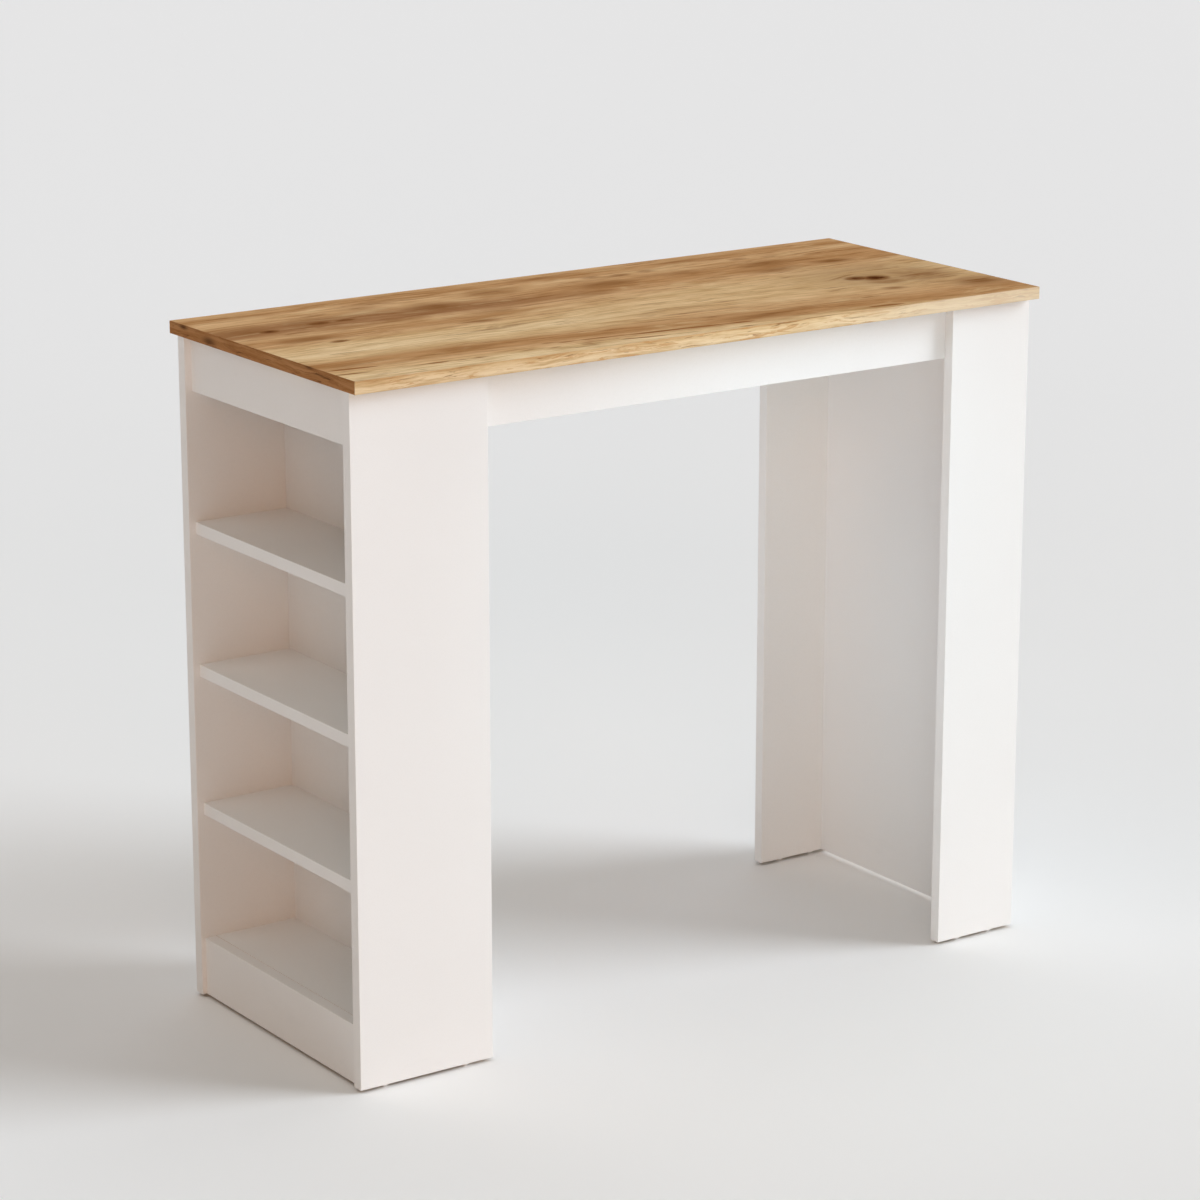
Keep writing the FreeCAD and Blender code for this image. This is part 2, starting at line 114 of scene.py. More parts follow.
def put(name: str, data: bpy.types.ID, spot: Sequence[float] = (0.0, 0.0, 0.0)) -> bpy.types.Object:
    """Adds an object to the scene.

    Args:
        name: The object's name.
        data: Its mesh, light or camera.
        spot: Where it stands.

    Returns:
        The object.
    """
    thing = bpy.data.objects.new(name, data)
    thing.location = spot
    bpy.context.scene.collection.objects.link(thing)
    return thing


def point(thing: bpy.types.Object, look: Vector) -> None:
    """Turns a light or the camera to look along a direction."""
    thing.rotation_euler = look.to_track_quat("-Z", "Y").to_euler()


class Axis(Enum):
    """A direction of the table's frame."""

    X = (1.0, 0.0, 0.0)
    Y = (0.0, 1.0, 0.0)
    Z = (0.0, 0.0, 1.0)


class ShaderGraph:
    """Adds and links shader nodes in one node tree."""

    def __init__(self, tree: bpy.types.NodeTree) -> None:
        """Empties a tree to work in.

        Args:
            tree: The node tree of a material or of the world.
        """
        tree.nodes.clear()
        self.tree = tree

    def add(self, kind: str, **settings: object) -> bpy.types.Node:
        """Adds a node.

        Args:
            kind: The node's type.
            settings: The node's properties, by name.

        Returns:
            The new node.
        """
        node = self.tree.nodes.new(kind)
        for name, value in settings.items():
            setattr(node, name, value)
        return node

    def feed(self, socket: Socket, value: Signal) -> None:
        """Links a signal to a socket, or sets the socket to a plain value.

        Args:
            socket: The input socket.
            value: An output socket, a number or a colour.
        """
        if isinstance(value, Socket):
            self.tree.links.new(value, socket)
        elif socket.type == "RGBA":
            socket.default_value = (*value, 1.0)
        else:
            socket.default_value = value

    def position(self) -> Socket:
        """Returns the point on the surface, in the table's frame."""
        return self.add("ShaderNodeTexCoord").outputs["Object"]

    def split(self, vector: Signal) -> tuple[Socket, ...]:
        """Takes a vector apart.

        Args:
            vector: The vector.

        Returns:
            Its three parts' sockets.
        """
        node = self.add("ShaderNodeSeparateXYZ")
        self.feed(node.inputs[0], vector)
        return tuple(node.outputs)

    def join(self, x: Signal, y: Signal, z: Signal) -> Socket:
        """Puts a vector together.

        Args:
            x: Its first part.
            y: Its second part.
            z: Its third part.

        Returns:
            The vector's socket.
        """
        node = self.add("ShaderNodeCombineXYZ")
        for socket, value in zip(node.inputs, (x, y, z)):
            self.feed(socket, value)
        return node.outputs[0]

    def maths(self, operation: str, *values: Signal) -> Socket:
        """Works out one sum.

        Args:
            operation: The Math node's operation.
            values: Its operands.

        Returns:
            The result's socket.
        """
        node = self.add("ShaderNodeMath", operation=operation)
        for socket, value in zip(node.inputs, values):
            self.feed(socket, value)
        return node.outputs[0]

    def measure(self, operation: str, *vectors: Signal) -> Socket:
        """Works out a number from vectors.

        Args:
            operation: The Vector Math node's operation.
            vectors: Its operands.

        Returns:
            The number's socket.
        """
        node = self.add("ShaderNodeVectorMath", operation=operation)
        for socket, vector in zip(node.inputs, vectors):
            self.feed(socket, vector)
        return node.outputs["Value"]

    def times(self, first: Signal, second: Signal) -> Socket:
        """Returns a product."""
        return self.maths("MULTIPLY", first, second)

    def line(self, value: Signal, slope: Signal, start: Signal) -> Socket:
        """Returns a value times a slope, plus a start."""
        return self.maths("MULTIPLY_ADD", value, slope, start)

    def sway(self, base: Signal, noise: Signal, reach: float) -> Socket:
        """Moves a base to both sides by noise around one half."""
        return self.line(self.maths("SUBTRACT", noise, 0.5), reach, base)

    def between(self, value: Signal, low: float, high: float) -> Socket:
        """Makes a smooth step.

        Args:
            value: Where to read the step.
            low: Where it is 0.
            high: Where it is 1.

        Returns:
            The step's socket.
        """
        node = self.add("ShaderNodeMapRange", interpolation_type="SMOOTHSTEP")
        self.feed(node.inputs["Value"], value)
        self.feed(node.inputs["From Min"], low)
        self.feed(node.inputs["From Max"], high)
        return node.outputs[0]

    def stretch(self, vector: Signal, scale: Point, offset: Point = (0.0, 0.0, 0.0)) -> Socket:
        """Scales and then moves a vector.

        Args:
            vector: The vector.
            scale: A factor for each of its parts.
            offset: A distance for each of its parts.

        Returns:
            The mapped vector's socket.
        """
        node = self.add("ShaderNodeMapping")
        self.feed(node.inputs["Vector"], vector)
        node.inputs["Scale"].default_value = scale
        node.inputs["Location"].default_value = offset
        return node.outputs[0]

    def noise(
        self, vector: Signal, scale: float, detail: float, roughness: float, bend: float = 0.0
    ) -> Socket:
        """Returns cloudy noise around one half.

        Args:
            vector: Where to read the noise.
            scale: Clouds per unit of the vector.
            detail: Number of finer layers.
            roughness: Weight of the finer layers.
            bend: How far the clouds are twisted.

        Returns:
            The noise's socket.
        """
        node = self.add("ShaderNodeTexNoise")
        self.feed(node.inputs["Vector"], vector)
        settings = {"Scale": scale, "Detail": detail, "Roughness": roughness, "Distortion": bend}
        for name, value in settings.items():
            node.inputs[name].default_value = value
        return node.outputs[0]

    def cells(self, vector: Signal, scale: float) -> Socket:
        """Makes a pattern of cells, each in a tone of its own.

        Args:
            vector: Where to read the cells.
            scale: Cells per unit of the vector.

        Returns:
            The tone's socket.
        """
        node = self.add("ShaderNodeTexVoronoi")
        self.feed(node.inputs["Vector"], vector)
        node.inputs["Scale"].default_value = scale
        return node.outputs["Color"]

    def ramp(self, factor: Signal, stops: Stops) -> Socket:
        """Returns a colour that runs through a row of stops.

        Args:
            factor: Where to read the ramp.
            stops: Places from 0 to 1 with their colours, in order.

        Returns:
            The colour's socket.
        """
        node = self.add("ShaderNodeValToRGB")
        self.feed(node.inputs[0], factor)
        elements = node.color_ramp.elements
        while len(elements) < len(stops):
            elements.new(1.0)
        for element, (place, colour) in zip(elements, stops):
            element.position = place
            element.color = (*colour, 1.0)
        return node.outputs[0]

    def mix(self, factor: Signal, first: Signal, second: Signal, blend: str = "MIX") -> Socket:
        """Blends two colours.

        Args:
            factor: 0 for the first colour, 1 for the second.
            first: The colour underneath.
            second: The colour on top.
            blend: The Mix node's blend type.

        Returns:
            The blended colour's socket.
        """
        node = self.add("ShaderNodeMix", data_type="RGBA", blend_type=blend)
        colours = [socket for socket in node.inputs if socket.type == "RGBA"]
        self.feed(node.inputs[0], factor)
        self.feed(colours[0], first)
        self.feed(colours[1], second)
        return next(socket for socket in node.outputs if socket.type == "RGBA")

    def tint(self, colour: Signal, factor: Signal, stops: Stops) -> Socket:
        """Returns a colour multiplied by the colours of a ramp."""
        return self.mix(1.0, colour, self.ramp(factor, stops), "MULTIPLY")

    def bump(self, height: Signal, depth: float) -> Socket:
        """Makes a normal that follows a height.

        Args:
            height: The height, from 0 to 1.
            depth: How many metres a height of 1 is.

        Returns:
            The normal's socket.
        """
        node = self.add("ShaderNodeBump")
        node.inputs["Strength"].default_value = 1.0
        node.inputs["Distance"].default_value = depth
        self.feed(node.inputs["Height"], height)
        return node.outputs[0]

    def surface(self, **inputs: Signal) -> None:
        """Ends the tree in a principled surface.

        Args:
            inputs: The shader's inputs, by name with underscores for spaces.
        """
        shader = self.add("ShaderNodeBsdfPrincipled")
        for name, value in inputs.items():
            self.feed(shader.inputs[name.replace("_", " ")], value)
        output = self.add("ShaderNodeOutputMaterial")
        self.tree.links.new(shader.outputs[0], output.inputs["Surface"])


def new_material(name: str) -> tuple[Material, ShaderGraph]:
    """Starts an empty material.

    Args:
        name: The material's name.

    Returns:
        The material and the graph that fills it.
    """
    material = bpy.data.materials.new(name)
    material.use_nodes = True
    return material, ShaderGraph(material.node_tree)


@dataclass(frozen=True)
class Grain:
    """Streaky noise: streaks per metre along, across and through the board, and how they break up."""

    along: float
    across: float
    detail: float = 2.0
    roughness: float = 0.5
    bend: float = 0.0
    through: float = 1.0
    offset: Point = (0.0, 0.0, 0.0)

    def over(self, graph: ShaderGraph, place: Signal) -> Socket:
        """Returns the layer's noise at a point, around one half."""
        local = graph.stretch(place, (self.along, self.across, self.through), self.offset)
        return graph.noise(local, 1.0, self.detail, self.roughness, self.bend)


class OakTone(Enum):
    """Tones of the printed oak, from its dark heart to its pale sap."""

    HEART = screen(162, 120, 82)
    BROWN = screen(182, 139, 94)
    HONEY = screen(202, 164, 120)
    STRAW = screen(213, 182, 137)
    SAP = screen(224, 198, 156)


Zones = Sequence[tuple[float, OakTone]]


@dataclass(frozen=True)
class Crack:
    """A dark wandering line in the printed grain, along the table."""

    across: float
    wander: float
    half_width: float
    seed: float


@dataclass(frozen=True)
class Mark:
    """A dark mark in the printed grain: its middle, its half sizes and how dark it is."""

    along: float
    across: float
    half_length: float
    half_width: float
    darkness: float

    def hump(self, graph: ShaderGraph, place: Signal, spread: float = 1.0) -> Signal:
        """Returns a round hump over the mark, 1 in its middle and 0 at its rim.

        Args:
            graph: The material's graph.
            place: The point, with its first two parts along and across the grain.
            spread: How much wider than the mark the hump is.

        Returns:
            The hump's socket.
        """
        u, v = 1 / (self.half_length * spread), 1 / (self.half_width * spread)
        local = graph.stretch(place, (u, v, 0.0), (-self.along * u, -self.across * v, 0.0))
        return graph.between(graph.measure("LENGTH", local), 1.0, 0.0)


def marks_over(graph: ShaderGraph, place: Signal, marks: Iterable[Mark]) -> Signal:
    """Returns the darkest of many marks at each point.

    Args:
        graph: The material's graph.
        place: The point, with its first two parts along and across the grain.
        marks: The marks.

    Returns:
        The darkness, from 0 to 1.
    """
    total: Signal = 0.0
    for mark in marks:
        total = graph.maths("MAXIMUM", total, graph.times(mark.hump(graph, place), mark.darkness))
    return total


@dataclass(frozen=True)
class OakDecor:
    """Printed rustic oak on the table top, with its grain along the table."""

    half_depth: float = 0.25
    heart_end: Zones = (
        (0.00, OakTone.SAP),
        (0.03, OakTone.STRAW),
        (0.07, OakTone.HONEY),
        (0.12, OakTone.BROWN),
        (0.17, OakTone.BROWN),
        (0.24, OakTone.STRAW),
        (0.34, OakTone.SAP),
        (0.43, OakTone.STRAW),
        (0.50, OakTone.HONEY),
        (0.56, OakTone.BROWN),
        (0.60, OakTone.HONEY),
        (0.66, OakTone.HEART),
        (0.73, OakTone.HEART),
        (0.80, OakTone.HONEY),
        (0.88, OakTone.HONEY),
        (0.93, OakTone.BROWN),
        (1.00, OakTone.HONEY),
    )
    sap_end: Zones = (
        (0.00, OakTone.SAP),
        (0.05, OakTone.STRAW),
        (0.10, OakTone.BROWN),
        (0.15, OakTone.BROWN),
        (0.22, OakTone.HONEY),
        (0.36, OakTone.STRAW),
        (0.52, OakTone.STRAW),
        (0.62, OakTone.HONEY),
        (0.70, OakTone.BROWN),
        (0.77, OakTone.BROWN),
        (0.86, OakTone.HONEY),
        (0.93, OakTone.BROWN),
        (1.00, OakTone.HONEY),
    )
    stains: tuple[Mark, ...] = (
        Mark(-0.540, 0.105, 0.090, 0.050, 0.55),
        Mark(-0.430, 0.110, 0.090, 0.050, 0.60),
        Mark(-0.320, 0.165, 0.060, 0.040, 0.40),
        Mark(-0.225, 0.120, 0.070, 0.050, 1.00),
        Mark(-0.100, 0.172, 0.070, 0.034, 1.00),
        Mark(-0.170, 0.050, 0.060, 0.024, 0.50),
        Mark(0.075, 0.128, 0.085, 0.032, 0.90),
        Mark(0.020, 0.080, 0.060, 0.026, 0.60),
        Mark(-0.490, 0.022, 0.080, 0.024, 0.90),
        Mark(-0.225, 0.003, 0.050, 0.018, 0.90),
        Mark(0.370, 0.125, 0.070, 0.032, 0.90),
        Mark(0.355, 0.080, 0.080, 0.034, 0.80),
        Mark(0.465, 0.086, 0.060, 0.020, 0.95),
        Mark(0.545, -0.125, 0.085, 0.060, 1.00),
        Mark(0.505, -0.050, 0.100, 0.075, 0.85),
        Mark(-0.350, -0.180, 0.070, 0.022, 0.60),
        Mark(0.110, -0.188, 0.100, 0.024, 0.60),
        Mark(0.200, -0.172, 0.060, 0.018, 0.50),
        Mark(-0.545, -0.190, 0.060, 0.018, 0.55),
        Mark(0.010, 0.218, 0.090, 0.014, 0.65),
        Mark(0.270, 0.218, 0.080, 0.014, 0.65),
        Mark(-0.470, 0.212, 0.070, 0.012, 0.45),
        Mark(0.405, -0.112, 0.034, 0.020, 0.80),
        Mark(0.430, -0.050, 0.090, 0.050, 0.70),
        Mark(0.440, -0.020, 0.220, 0.120, 0.55),
    )
    knots: tuple[Mark, ...] = (
        Mark(0.432, -0.058, 0.033, 0.026, 1.0),
        Mark(0.407, -0.046, 0.031, 0.022, 0.82),
        Mark(-0.510, 0.099, 0.023, 0.014, 0.84),
        Mark(-0.464, -0.011, 0.027, 0.013, 0.52),
        Mark(-0.424, 0.112, 0.030, 0.014, 0.62),
        Mark(-0.381, 0.112, 0.025, 0.012, 0.66),
        Mark(0.086, 0.185, 0.034, 0.020, 0.28),
        Mark(0.134, 0.176, 0.034, 0.020, 0.26),
        Mark(0.184, 0.181, 0.036, 0.020, 0.28),
        Mark(0.357, 0.183, 0.034, 0.020, 0.26),
        Mark(0.411, 0.173, 0.030, 0.018, 0.22),
    )
    cracks: tuple[Crack, ...] = (
        Crack(-0.212, 0.008, 0.0024, 1.7),
        Crack(-0.236, 0.010, 0.0022, 5.3),
    )
    stain_tone: Colour = screen(134, 86, 42)
    light_tone: Colour = screen(230, 202, 156)
    halo_tone: Colour = screen(124, 76, 36)
    knot_tone: Colour = screen(82, 40, 6)
    crack_tone: Colour = screen(146, 92, 46)
    sheen: float = 0.001
    relief: float = 0.10 * MM
    front_slant: float = 0.0624
    lift: float = 1.14
    slow_reach: float = 50.0 * MM
    quick_reach: float = 6.0 * MM
    slow_bends: Grain = Grain(1.7, 4.0)
    quick_bends: Grain = Grain(9.0, 18.0)
    cloud: Grain = Grain(2.4, 9.0)
    calm: Grain = Grain(2.0, 6.0, offset=(7.0, 0.0, 0.0))
    streaks: Grain = Grain(7.0, 30.0, 4.0, 0.62, 0.5)
    mottle: Grain = Grain(9.0, 26.0, 4.0, 0.6, 0.4, offset=(0.0, 0.0, 4.0))
    narrow: Grain = Grain(8.0, 90.0, 3.0, 0.6, 0.3)
    fibre: Grain = Grain(4.5, 210.0, 3.0, 0.65, 0.3, offset=(0.0, 0.0, 2.0))
    fine: Grain = Grain(26.0, 520.0)
    dashes: Grain = Grain(11.0, 150.0, 3.0, 0.6, 0.4, offset=(0.0, 0.0, 8.0))
    mottle_tints: Stops = (
        (0.30, (0.86, 0.80, 0.72)),
        (0.48, (0.99, 0.98, 0.97)),
        (0.68, (1.07, 1.09, 1.12)),
    )
    fibre_tints: Stops = (
        (0.34, (0.84, 0.77, 0.69)),
        (0.47, (0.99, 0.985, 0.98)),
        (0.66, (1.04, 1.05, 1.065)),
    )
    narrow_tints: Stops = (
        (0.33, (0.82, 0.75, 0.66)),
        (0.47, (0.98, 0.97, 0.96)),
        (0.66, (1.06, 1.07, 1.09)),
    )
    fine_tints: Stops = (
        (0.32, (0.84, 0.80, 0.75)),
        (0.52, (1.0, 1.0, 1.0)),
        (0.72, (1.05, 1.06, 1.07)),
    )

    def material(self) -> Material:
        """Makes the finish of the table top's core board.

        Returns:
            The material.
        """
        material, graph = new_material("oak_decor")
        plain = graph.position()
        place = self._flow(graph, plain)
        layers = (self.streaks, self.mottle, self.narrow, self.fibre, self.fine, self.dashes)
        streaks, mottle, narrow, fibre, fine, dashes = (layer.over(graph, place) for layer in layers)
        colour = self._zones(graph, place, streaks)
        light = graph.times(graph.between(streaks, 0.47, 0.33), 0.40)
        colour = graph.mix(light, colour, self.light_tone)
        calm = graph.between(self.calm.over(graph, plain), 0.36, 0.62)
        dark = graph.times(graph.between(streaks, 0.54, 0.70), graph.times(calm, 0.45))
        colour = graph.mix(dark, colour, self.stain_tone)
        colour = graph.tint(colour, mottle, self.mottle_tints)
        ragged = graph.line(fibre, 0.3, graph.line(mottle, 0.4, graph.times(narrow, 0.3)))
        stains = graph.times(marks_over(graph, place, self.stains), graph.between(ragged, 0.34, 0.58))
        colour = graph.mix(stains, colour, self.stain_tone)
        dashes = graph.times(graph.between(dashes, 0.58, 0.70), 0.60)
        colour = graph.mix(dashes, colour, self.stain_tone)
        cracks = graph.times(self._cracks(graph, place), graph.between(fibre, 0.22, 0.46))
        colour = graph.mix(cracks, colour, self.crack_tone)
        colour = graph.tint(colour, fibre, self.fibre_tints)
        colour = graph.tint(colour, narrow, self.narrow_tints)
        colour = graph.tint(colour, fine, self.fine_tints)
        knots = self._knots(graph, plain)
        halo = graph.times(graph.between(knots, 0.04, 0.42), 0.75)
        colour = graph.mix(halo, colour, self.halo_tone)
        core = graph.between(knots, 0.42, 0.95)
        colour = graph.mix(core, colour, self.knot_tone)
        relief = graph.line(narrow, 0.5, graph.times(fine, 0.5))
        relief = graph.maths("SUBTRACT", relief, graph.maths("MAXIMUM", cracks, core))
        graph.surface(
            Base_Color=colour,
            Roughness=graph.line(narrow, -0.16, 0.66),
            Specular_IOR_Level=self.sheen,
            Normal=graph.bump(relief, self.relief),
        )
        return material

    def _flow(self, graph: ShaderGraph, plain: Signal) -> Signal:
        """Bends the grain, so that it wanders and runs round the biggest knot.

        Args:
            graph: The material's graph.
            plain: The point on the board.

        Returns:
            The bent point.
        """
        along, across, height = graph.split(plain)
        bent = graph.sway(across, self.slow_bends.over(graph, plain), self.slow_reach)
        bent = graph.sway(bent, self.quick_bends.over(graph, plain), self.quick_reach)
        front = graph.times(graph.between(across, 0.0, -0.15), self.front_slant)
        bent = graph.line(along, front, bent)
        knot = self.knots[0]
        side = graph.maths("SUBTRACT", across, knot.across)
        push = graph.times(graph.times(side, knot.hump(graph, plain, 3.0)), -0.7)
        return graph.join(along, graph.maths("ADD", bent, push), height)

    def _zones(self, graph: ShaderGraph, place: Signal, streaks: Signal) -> Signal:
        """Returns the broad heartwood and sapwood tones across the board.

        Args:
            graph: The material's graph.
            place: The bent point.
            streaks: Streaks that fray the zones' borders.

        Returns:
            The colour's socket.
        """
        along, across, _ = graph.split(place)
        share = graph.sway(graph.line(across, 0.5 / self.half_depth, 0.5), streaks, 0.10)
        frayed = graph.sway(along, self.cloud.over(graph, place), 0.6)
        ends = (self._bands(graph, share, zones) for zones in (self.heart_end, self.sap_end))
        return graph.mix(graph.between(frayed, -0.25, 0.15), *ends)

    def _bands(self, graph: ShaderGraph, share: Signal, zones: Zones) -> Signal:
        """Returns the tones of one end's zones, at a share of the way from the front to the rear."""
        return graph.ramp(share, [(place, shaded(tone.value, self.lift)) for place, tone in zones])

    def _cracks(self, graph: ShaderGraph, place: Signal) -> Signal:
        """Draws the wandering dark lines near the front edge.

        Args:
            graph: The material's graph.
            place: The bent point.

        Returns:
            The lines' darkness, from 0 to 1.
        """
        across = graph.split(place)[1]
        total: Signal = 0.0
        for crack in self.cracks:
            path = Grain(3.0, 0.0, 4.0, 0.55, through=0.0, offset=(0.0, crack.seed, 0.0)).over(graph, place)
            middle = graph.sway(crack.across, path, crack.wander * 2)
            gap = graph.maths("ABSOLUTE", graph.maths("SUBTRACT", across, middle))
            width = Grain(10.0, 0.0, through=0.0, offset=(0.0, crack.seed, 5.0)).over(graph, place)
            width = graph.times(graph.between(width, 0.44, 0.66), crack.half_width * 2.4)
            line = graph.between(graph.maths("SUBTRACT", width, gap), 0.0, crack.half_width)
            total = graph.maths("MAXIMUM", total, line)
        return graph.times(total, 0.85)

    def _knots(self, graph: ShaderGraph, plain: Signal) -> Signal:
        """Draws the knots' dark middles, ragged at their rims.

        Args:
            graph: The material's graph.
            plain: The point on the board.

        Returns:
            The knots' darkness, mostly from 0 to 1.
        """
        ragged = Grain(45.0, 90.0, 4.0, 0.65, 0.6).over(graph, plain)
        knots = marks_over(graph, plain, self.knots)
        return graph.times(knots, graph.line(ragged, 1.5, 0.25))


@dataclass(frozen=True)
class OakEdge:
    """Printed oak on the table top's edge bands, with its grain along the run of the band."""

    run: Axis
    name: str
    tones: Stops
    patch_tone: Colour
    line_tone: Colour
    pale_tone: Colour
    pale_share: float = 0.0
    base: float = 0.982
    thickness: float = 0.018
    sheen: float = 0.01
    relief: float = 0.10 * MM
    sway: float = 16.0 * MM
    spots: tuple[Mark, ...] = ()
    streaks: Grain = Grain(16.0, 260.0, 4.0, 0.65, 0.4, 3.0)
    patches: Grain = Grain(15.0, 130.0, 5.0, 0.68, 1.1, 5.0, (0.0, 0.0, 3.0))
    lines: Grain = Grain(22.0, 330.0, 3.0, 0.6, 0.8, 7.0, (0.0, 0.0, 9.0))
    streak_tints: Stops = (
        (0.34, (0.78, 0.69, 0.58)),
        (0.48, (0.97, 0.95, 0.92)),
        (0.62, (1.07, 1.09, 1.12)),
    )

    def material(self) -> Material:
        """Makes the finish of a pair of edge bands.

        Returns:
            The material.
        """
        material, graph = new_material(self.name)
        x, y, z = graph.split(graph.position())
        along, off = (x, y) if self.run is Axis.X else (y, x)
        slow = graph.noise(graph.join(graph.times(along, 7.0), off, 2.0), 1.0, 3.0, 0.6)
        flow = graph.sway(z, slow, self.sway)
        place = graph.join(along, flow, off)
        share = graph.maths("DIVIDE", graph.maths("SUBTRACT", flow, self.base), self.thickness)
        layers = (self.streaks, self.patches, self.lines)
        streaks, patches, lines = (layer.over(graph, place) for layer in layers)
        colour = graph.tint(graph.ramp(share, self.tones), streaks, self.streak_tints)
        patches = graph.times(graph.between(patches, 0.53, 0.61), 0.7)
        colour = graph.mix(patches, colour, self.patch_tone)
        lines = graph.times(graph.between(lines, 0.61, 0.68), 0.7)
        colour = graph.mix(lines, colour, self.line_tone)
        spots = marks_over(graph, graph.join(along, z, 0.0), self.spots)
        colour = graph.mix(spots, colour, self.line_tone)
        pale = graph.times(graph.between(along, 0.15, 0.45), self.pale_share)
        # Paler print towards one end, and pale arrises that are partly rubbing and partly a painted
        # highlight.
        paled_rubbed_and_highlit = graph.maths("MAXIMUM", pale, self._arris_rub_and_highlight(graph, z))
        colour = graph.mix(paled_rubbed_and_highlit, colour, self.pale_tone)
        relief = graph.maths("SUBTRACT", graph.times(streaks, 0.6), lines)
        graph.surface(
            Base_Color=colour,
            Roughness=0.6,
            Specular_IOR_Level=self.sheen,
            Normal=graph.bump(relief, self.relief),
        )
        return material

    def _arris_rub_and_highlight(self, graph: ShaderGraph, height: Signal) -> Signal:
        """Draws light rubbing along the band's upper and lower arrises, together with a painted highlight on
        them.

        Args:
            graph: The material's graph.
            height: The point's height over the floor.

        Returns:
            The share of rubbing and painted highlight, from 0 to 1.
        """
        middle = self.base + self.thickness / 2
        away = graph.maths("ABSOLUTE", graph.maths("SUBTRACT", height, middle))
        rub = graph.noise(graph.position(), 55.0, 3.0, 0.6)
        # Pale within a millimetre of both arrises: rubbing, and a painted highlight.
        near = graph.between(away, self.thickness / 2 - 0.9 * MM, self.thickness / 2 - 0.2 * MM)
        return graph.times(near, graph.times(graph.between(rub, 0.5, 0.75), 0.35))


@dataclass(frozen=True)
class WhiteMelamine:
    """White melamine on chipboard: faced sides along one axis, raw chipboard on the sawn edges."""

    face: Axis
    tone: Colour = screen(243, 241, 238)
    chip_light: Colour = screen(206, 176, 134)
    chip_dark: Colour = screen(132, 98, 62)

    def material(self) -> Material:
        """Makes the finish of the boards that face along the axis.

        Returns:
            The material.
        """
        material, graph = new_material(f"white_melamine_{self.face.name.lower()}")
        place = graph.position()
        normal = graph.add("ShaderNodeNewGeometry").outputs["True Normal"]
        facing = graph.maths("ABSOLUTE", graph.measure("DOT_PRODUCT", normal, self.face.value))
        faced = graph.between(facing, 0.4, 0.6)
        cloud = graph.noise(place, 2.6, 3.0, 0.5)
        paper = graph.noise(place, 420.0, 3.0, 0.6)
        colour = graph.ramp(cloud, ((0.3, shaded(self.tone, 0.975)), (0.7, self.tone)))
        colour = graph.tint(colour, paper, ((0.30, (0.982, 0.980, 0.976)), (0.52, (1.0, 1.0, 1.0))))
        colour = graph.mix(self._scuffs(graph, place), colour, shaded(self.tone, 0.86))
        chips = graph.cells(place, 520.0)
        flake = graph.noise(place, 900.0, 2.0, 0.5)
        raw = graph.mix(graph.between(flake, 0.35, 0.65), self.chip_dark, self.chip_light)
        raw = graph.mix(0.55, raw, graph.mix(chips, self.chip_dark, self.chip_light))
        colour = graph.mix(faced, raw, colour)
        gloss = graph.line(cloud, 0.10, 0.38)
        gloss = graph.line(graph.maths("SUBTRACT", 1.0, faced), 0.4, gloss)
        pearl = graph.noise(place, 1500.0, 2.0, 0.5)
        graph.surface(Base_Color=colour, Roughness=gloss, Normal=graph.bump(pearl, 0.04 * MM))
        return material

    def _scuffs(self, graph: ShaderGraph, place: Signal) -> Signal:
        """Draws faint scuffs near the floor, where feet and mops touch the boards.

        Args:
            graph: The material's graph.
            place: The point on the board.

        Returns:
            The scuffs' share, from 0 to 1.
        """
        height = graph.split(place)[2]
        low = graph.maths("SUBTRACT", 1.0, graph.between(height, 0.01, 0.12))
        marks = graph.between(Grain(9.0, 9.0, 4.0, 0.6, through=26.0).over(graph, place), 0.54, 0.72)
        return graph.times(graph.times(low, marks), 0.22)


@dataclass(frozen=True)
class WhiteEdge:
    """White plastic edge band, a touch glossier than the boards and rubbed along its arrises."""

    name: str = "white_edge_band"
    tone: Colour = screen(244, 242, 239)

    def material(self) -> Material:
        """Makes the finish of the white edge bands.

        Returns:
            The material.
        """
        material, graph = new_material(self.name)
        place = graph.position()
        cloud = graph.noise(place, 4.0, 3.0, 0.5)
        fine = graph.noise(place, 700.0, 2.0, 0.5)
        colour = graph.ramp(cloud, ((0.3, shaded(self.tone, 0.97)), (0.7, self.tone)))
        rub = graph.between(graph.noise(place, 34.0, 4.0, 0.65), 0.60, 0.74)
        colour = graph.mix(graph.times(rub, 0.10), colour, shaded(self.tone, 0.80))
        gloss = graph.line(rub, 0.12, 0.34)
        graph.surface(Base_Color=colour, Roughness=gloss, Normal=graph.bump(fine, 0.03 * MM))
        return material


@dataclass(frozen=True)
class BeechDowel:
    """Raw beech of the dowels, with short dark flecks."""

    name: str = "raw_beech"
    light: Colour = screen(222, 186, 142)
    dark: Colour = screen(184, 140, 94)

    def material(self) -> Material:
        """Makes the finish of the dowels.

        Returns:
            The material.
        """
        material, graph = new_material(self.name)
        place = graph.position()
        grain = graph.noise(place, 900.0, 3.0, 0.6)
        flecks = graph.between(graph.noise(place, 2600.0, 1.0, 0.5), 0.62, 0.72)
        colour = graph.mix(graph.between(grain, 0.35, 0.65), self.dark, self.light)
        colour = graph.mix(graph.times(flecks, 0.5), colour, shaded(self.dark, 0.6))
        graph.surface(Base_Color=colour, Roughness=0.75, Normal=graph.bump(grain, 0.08 * MM))
        return material


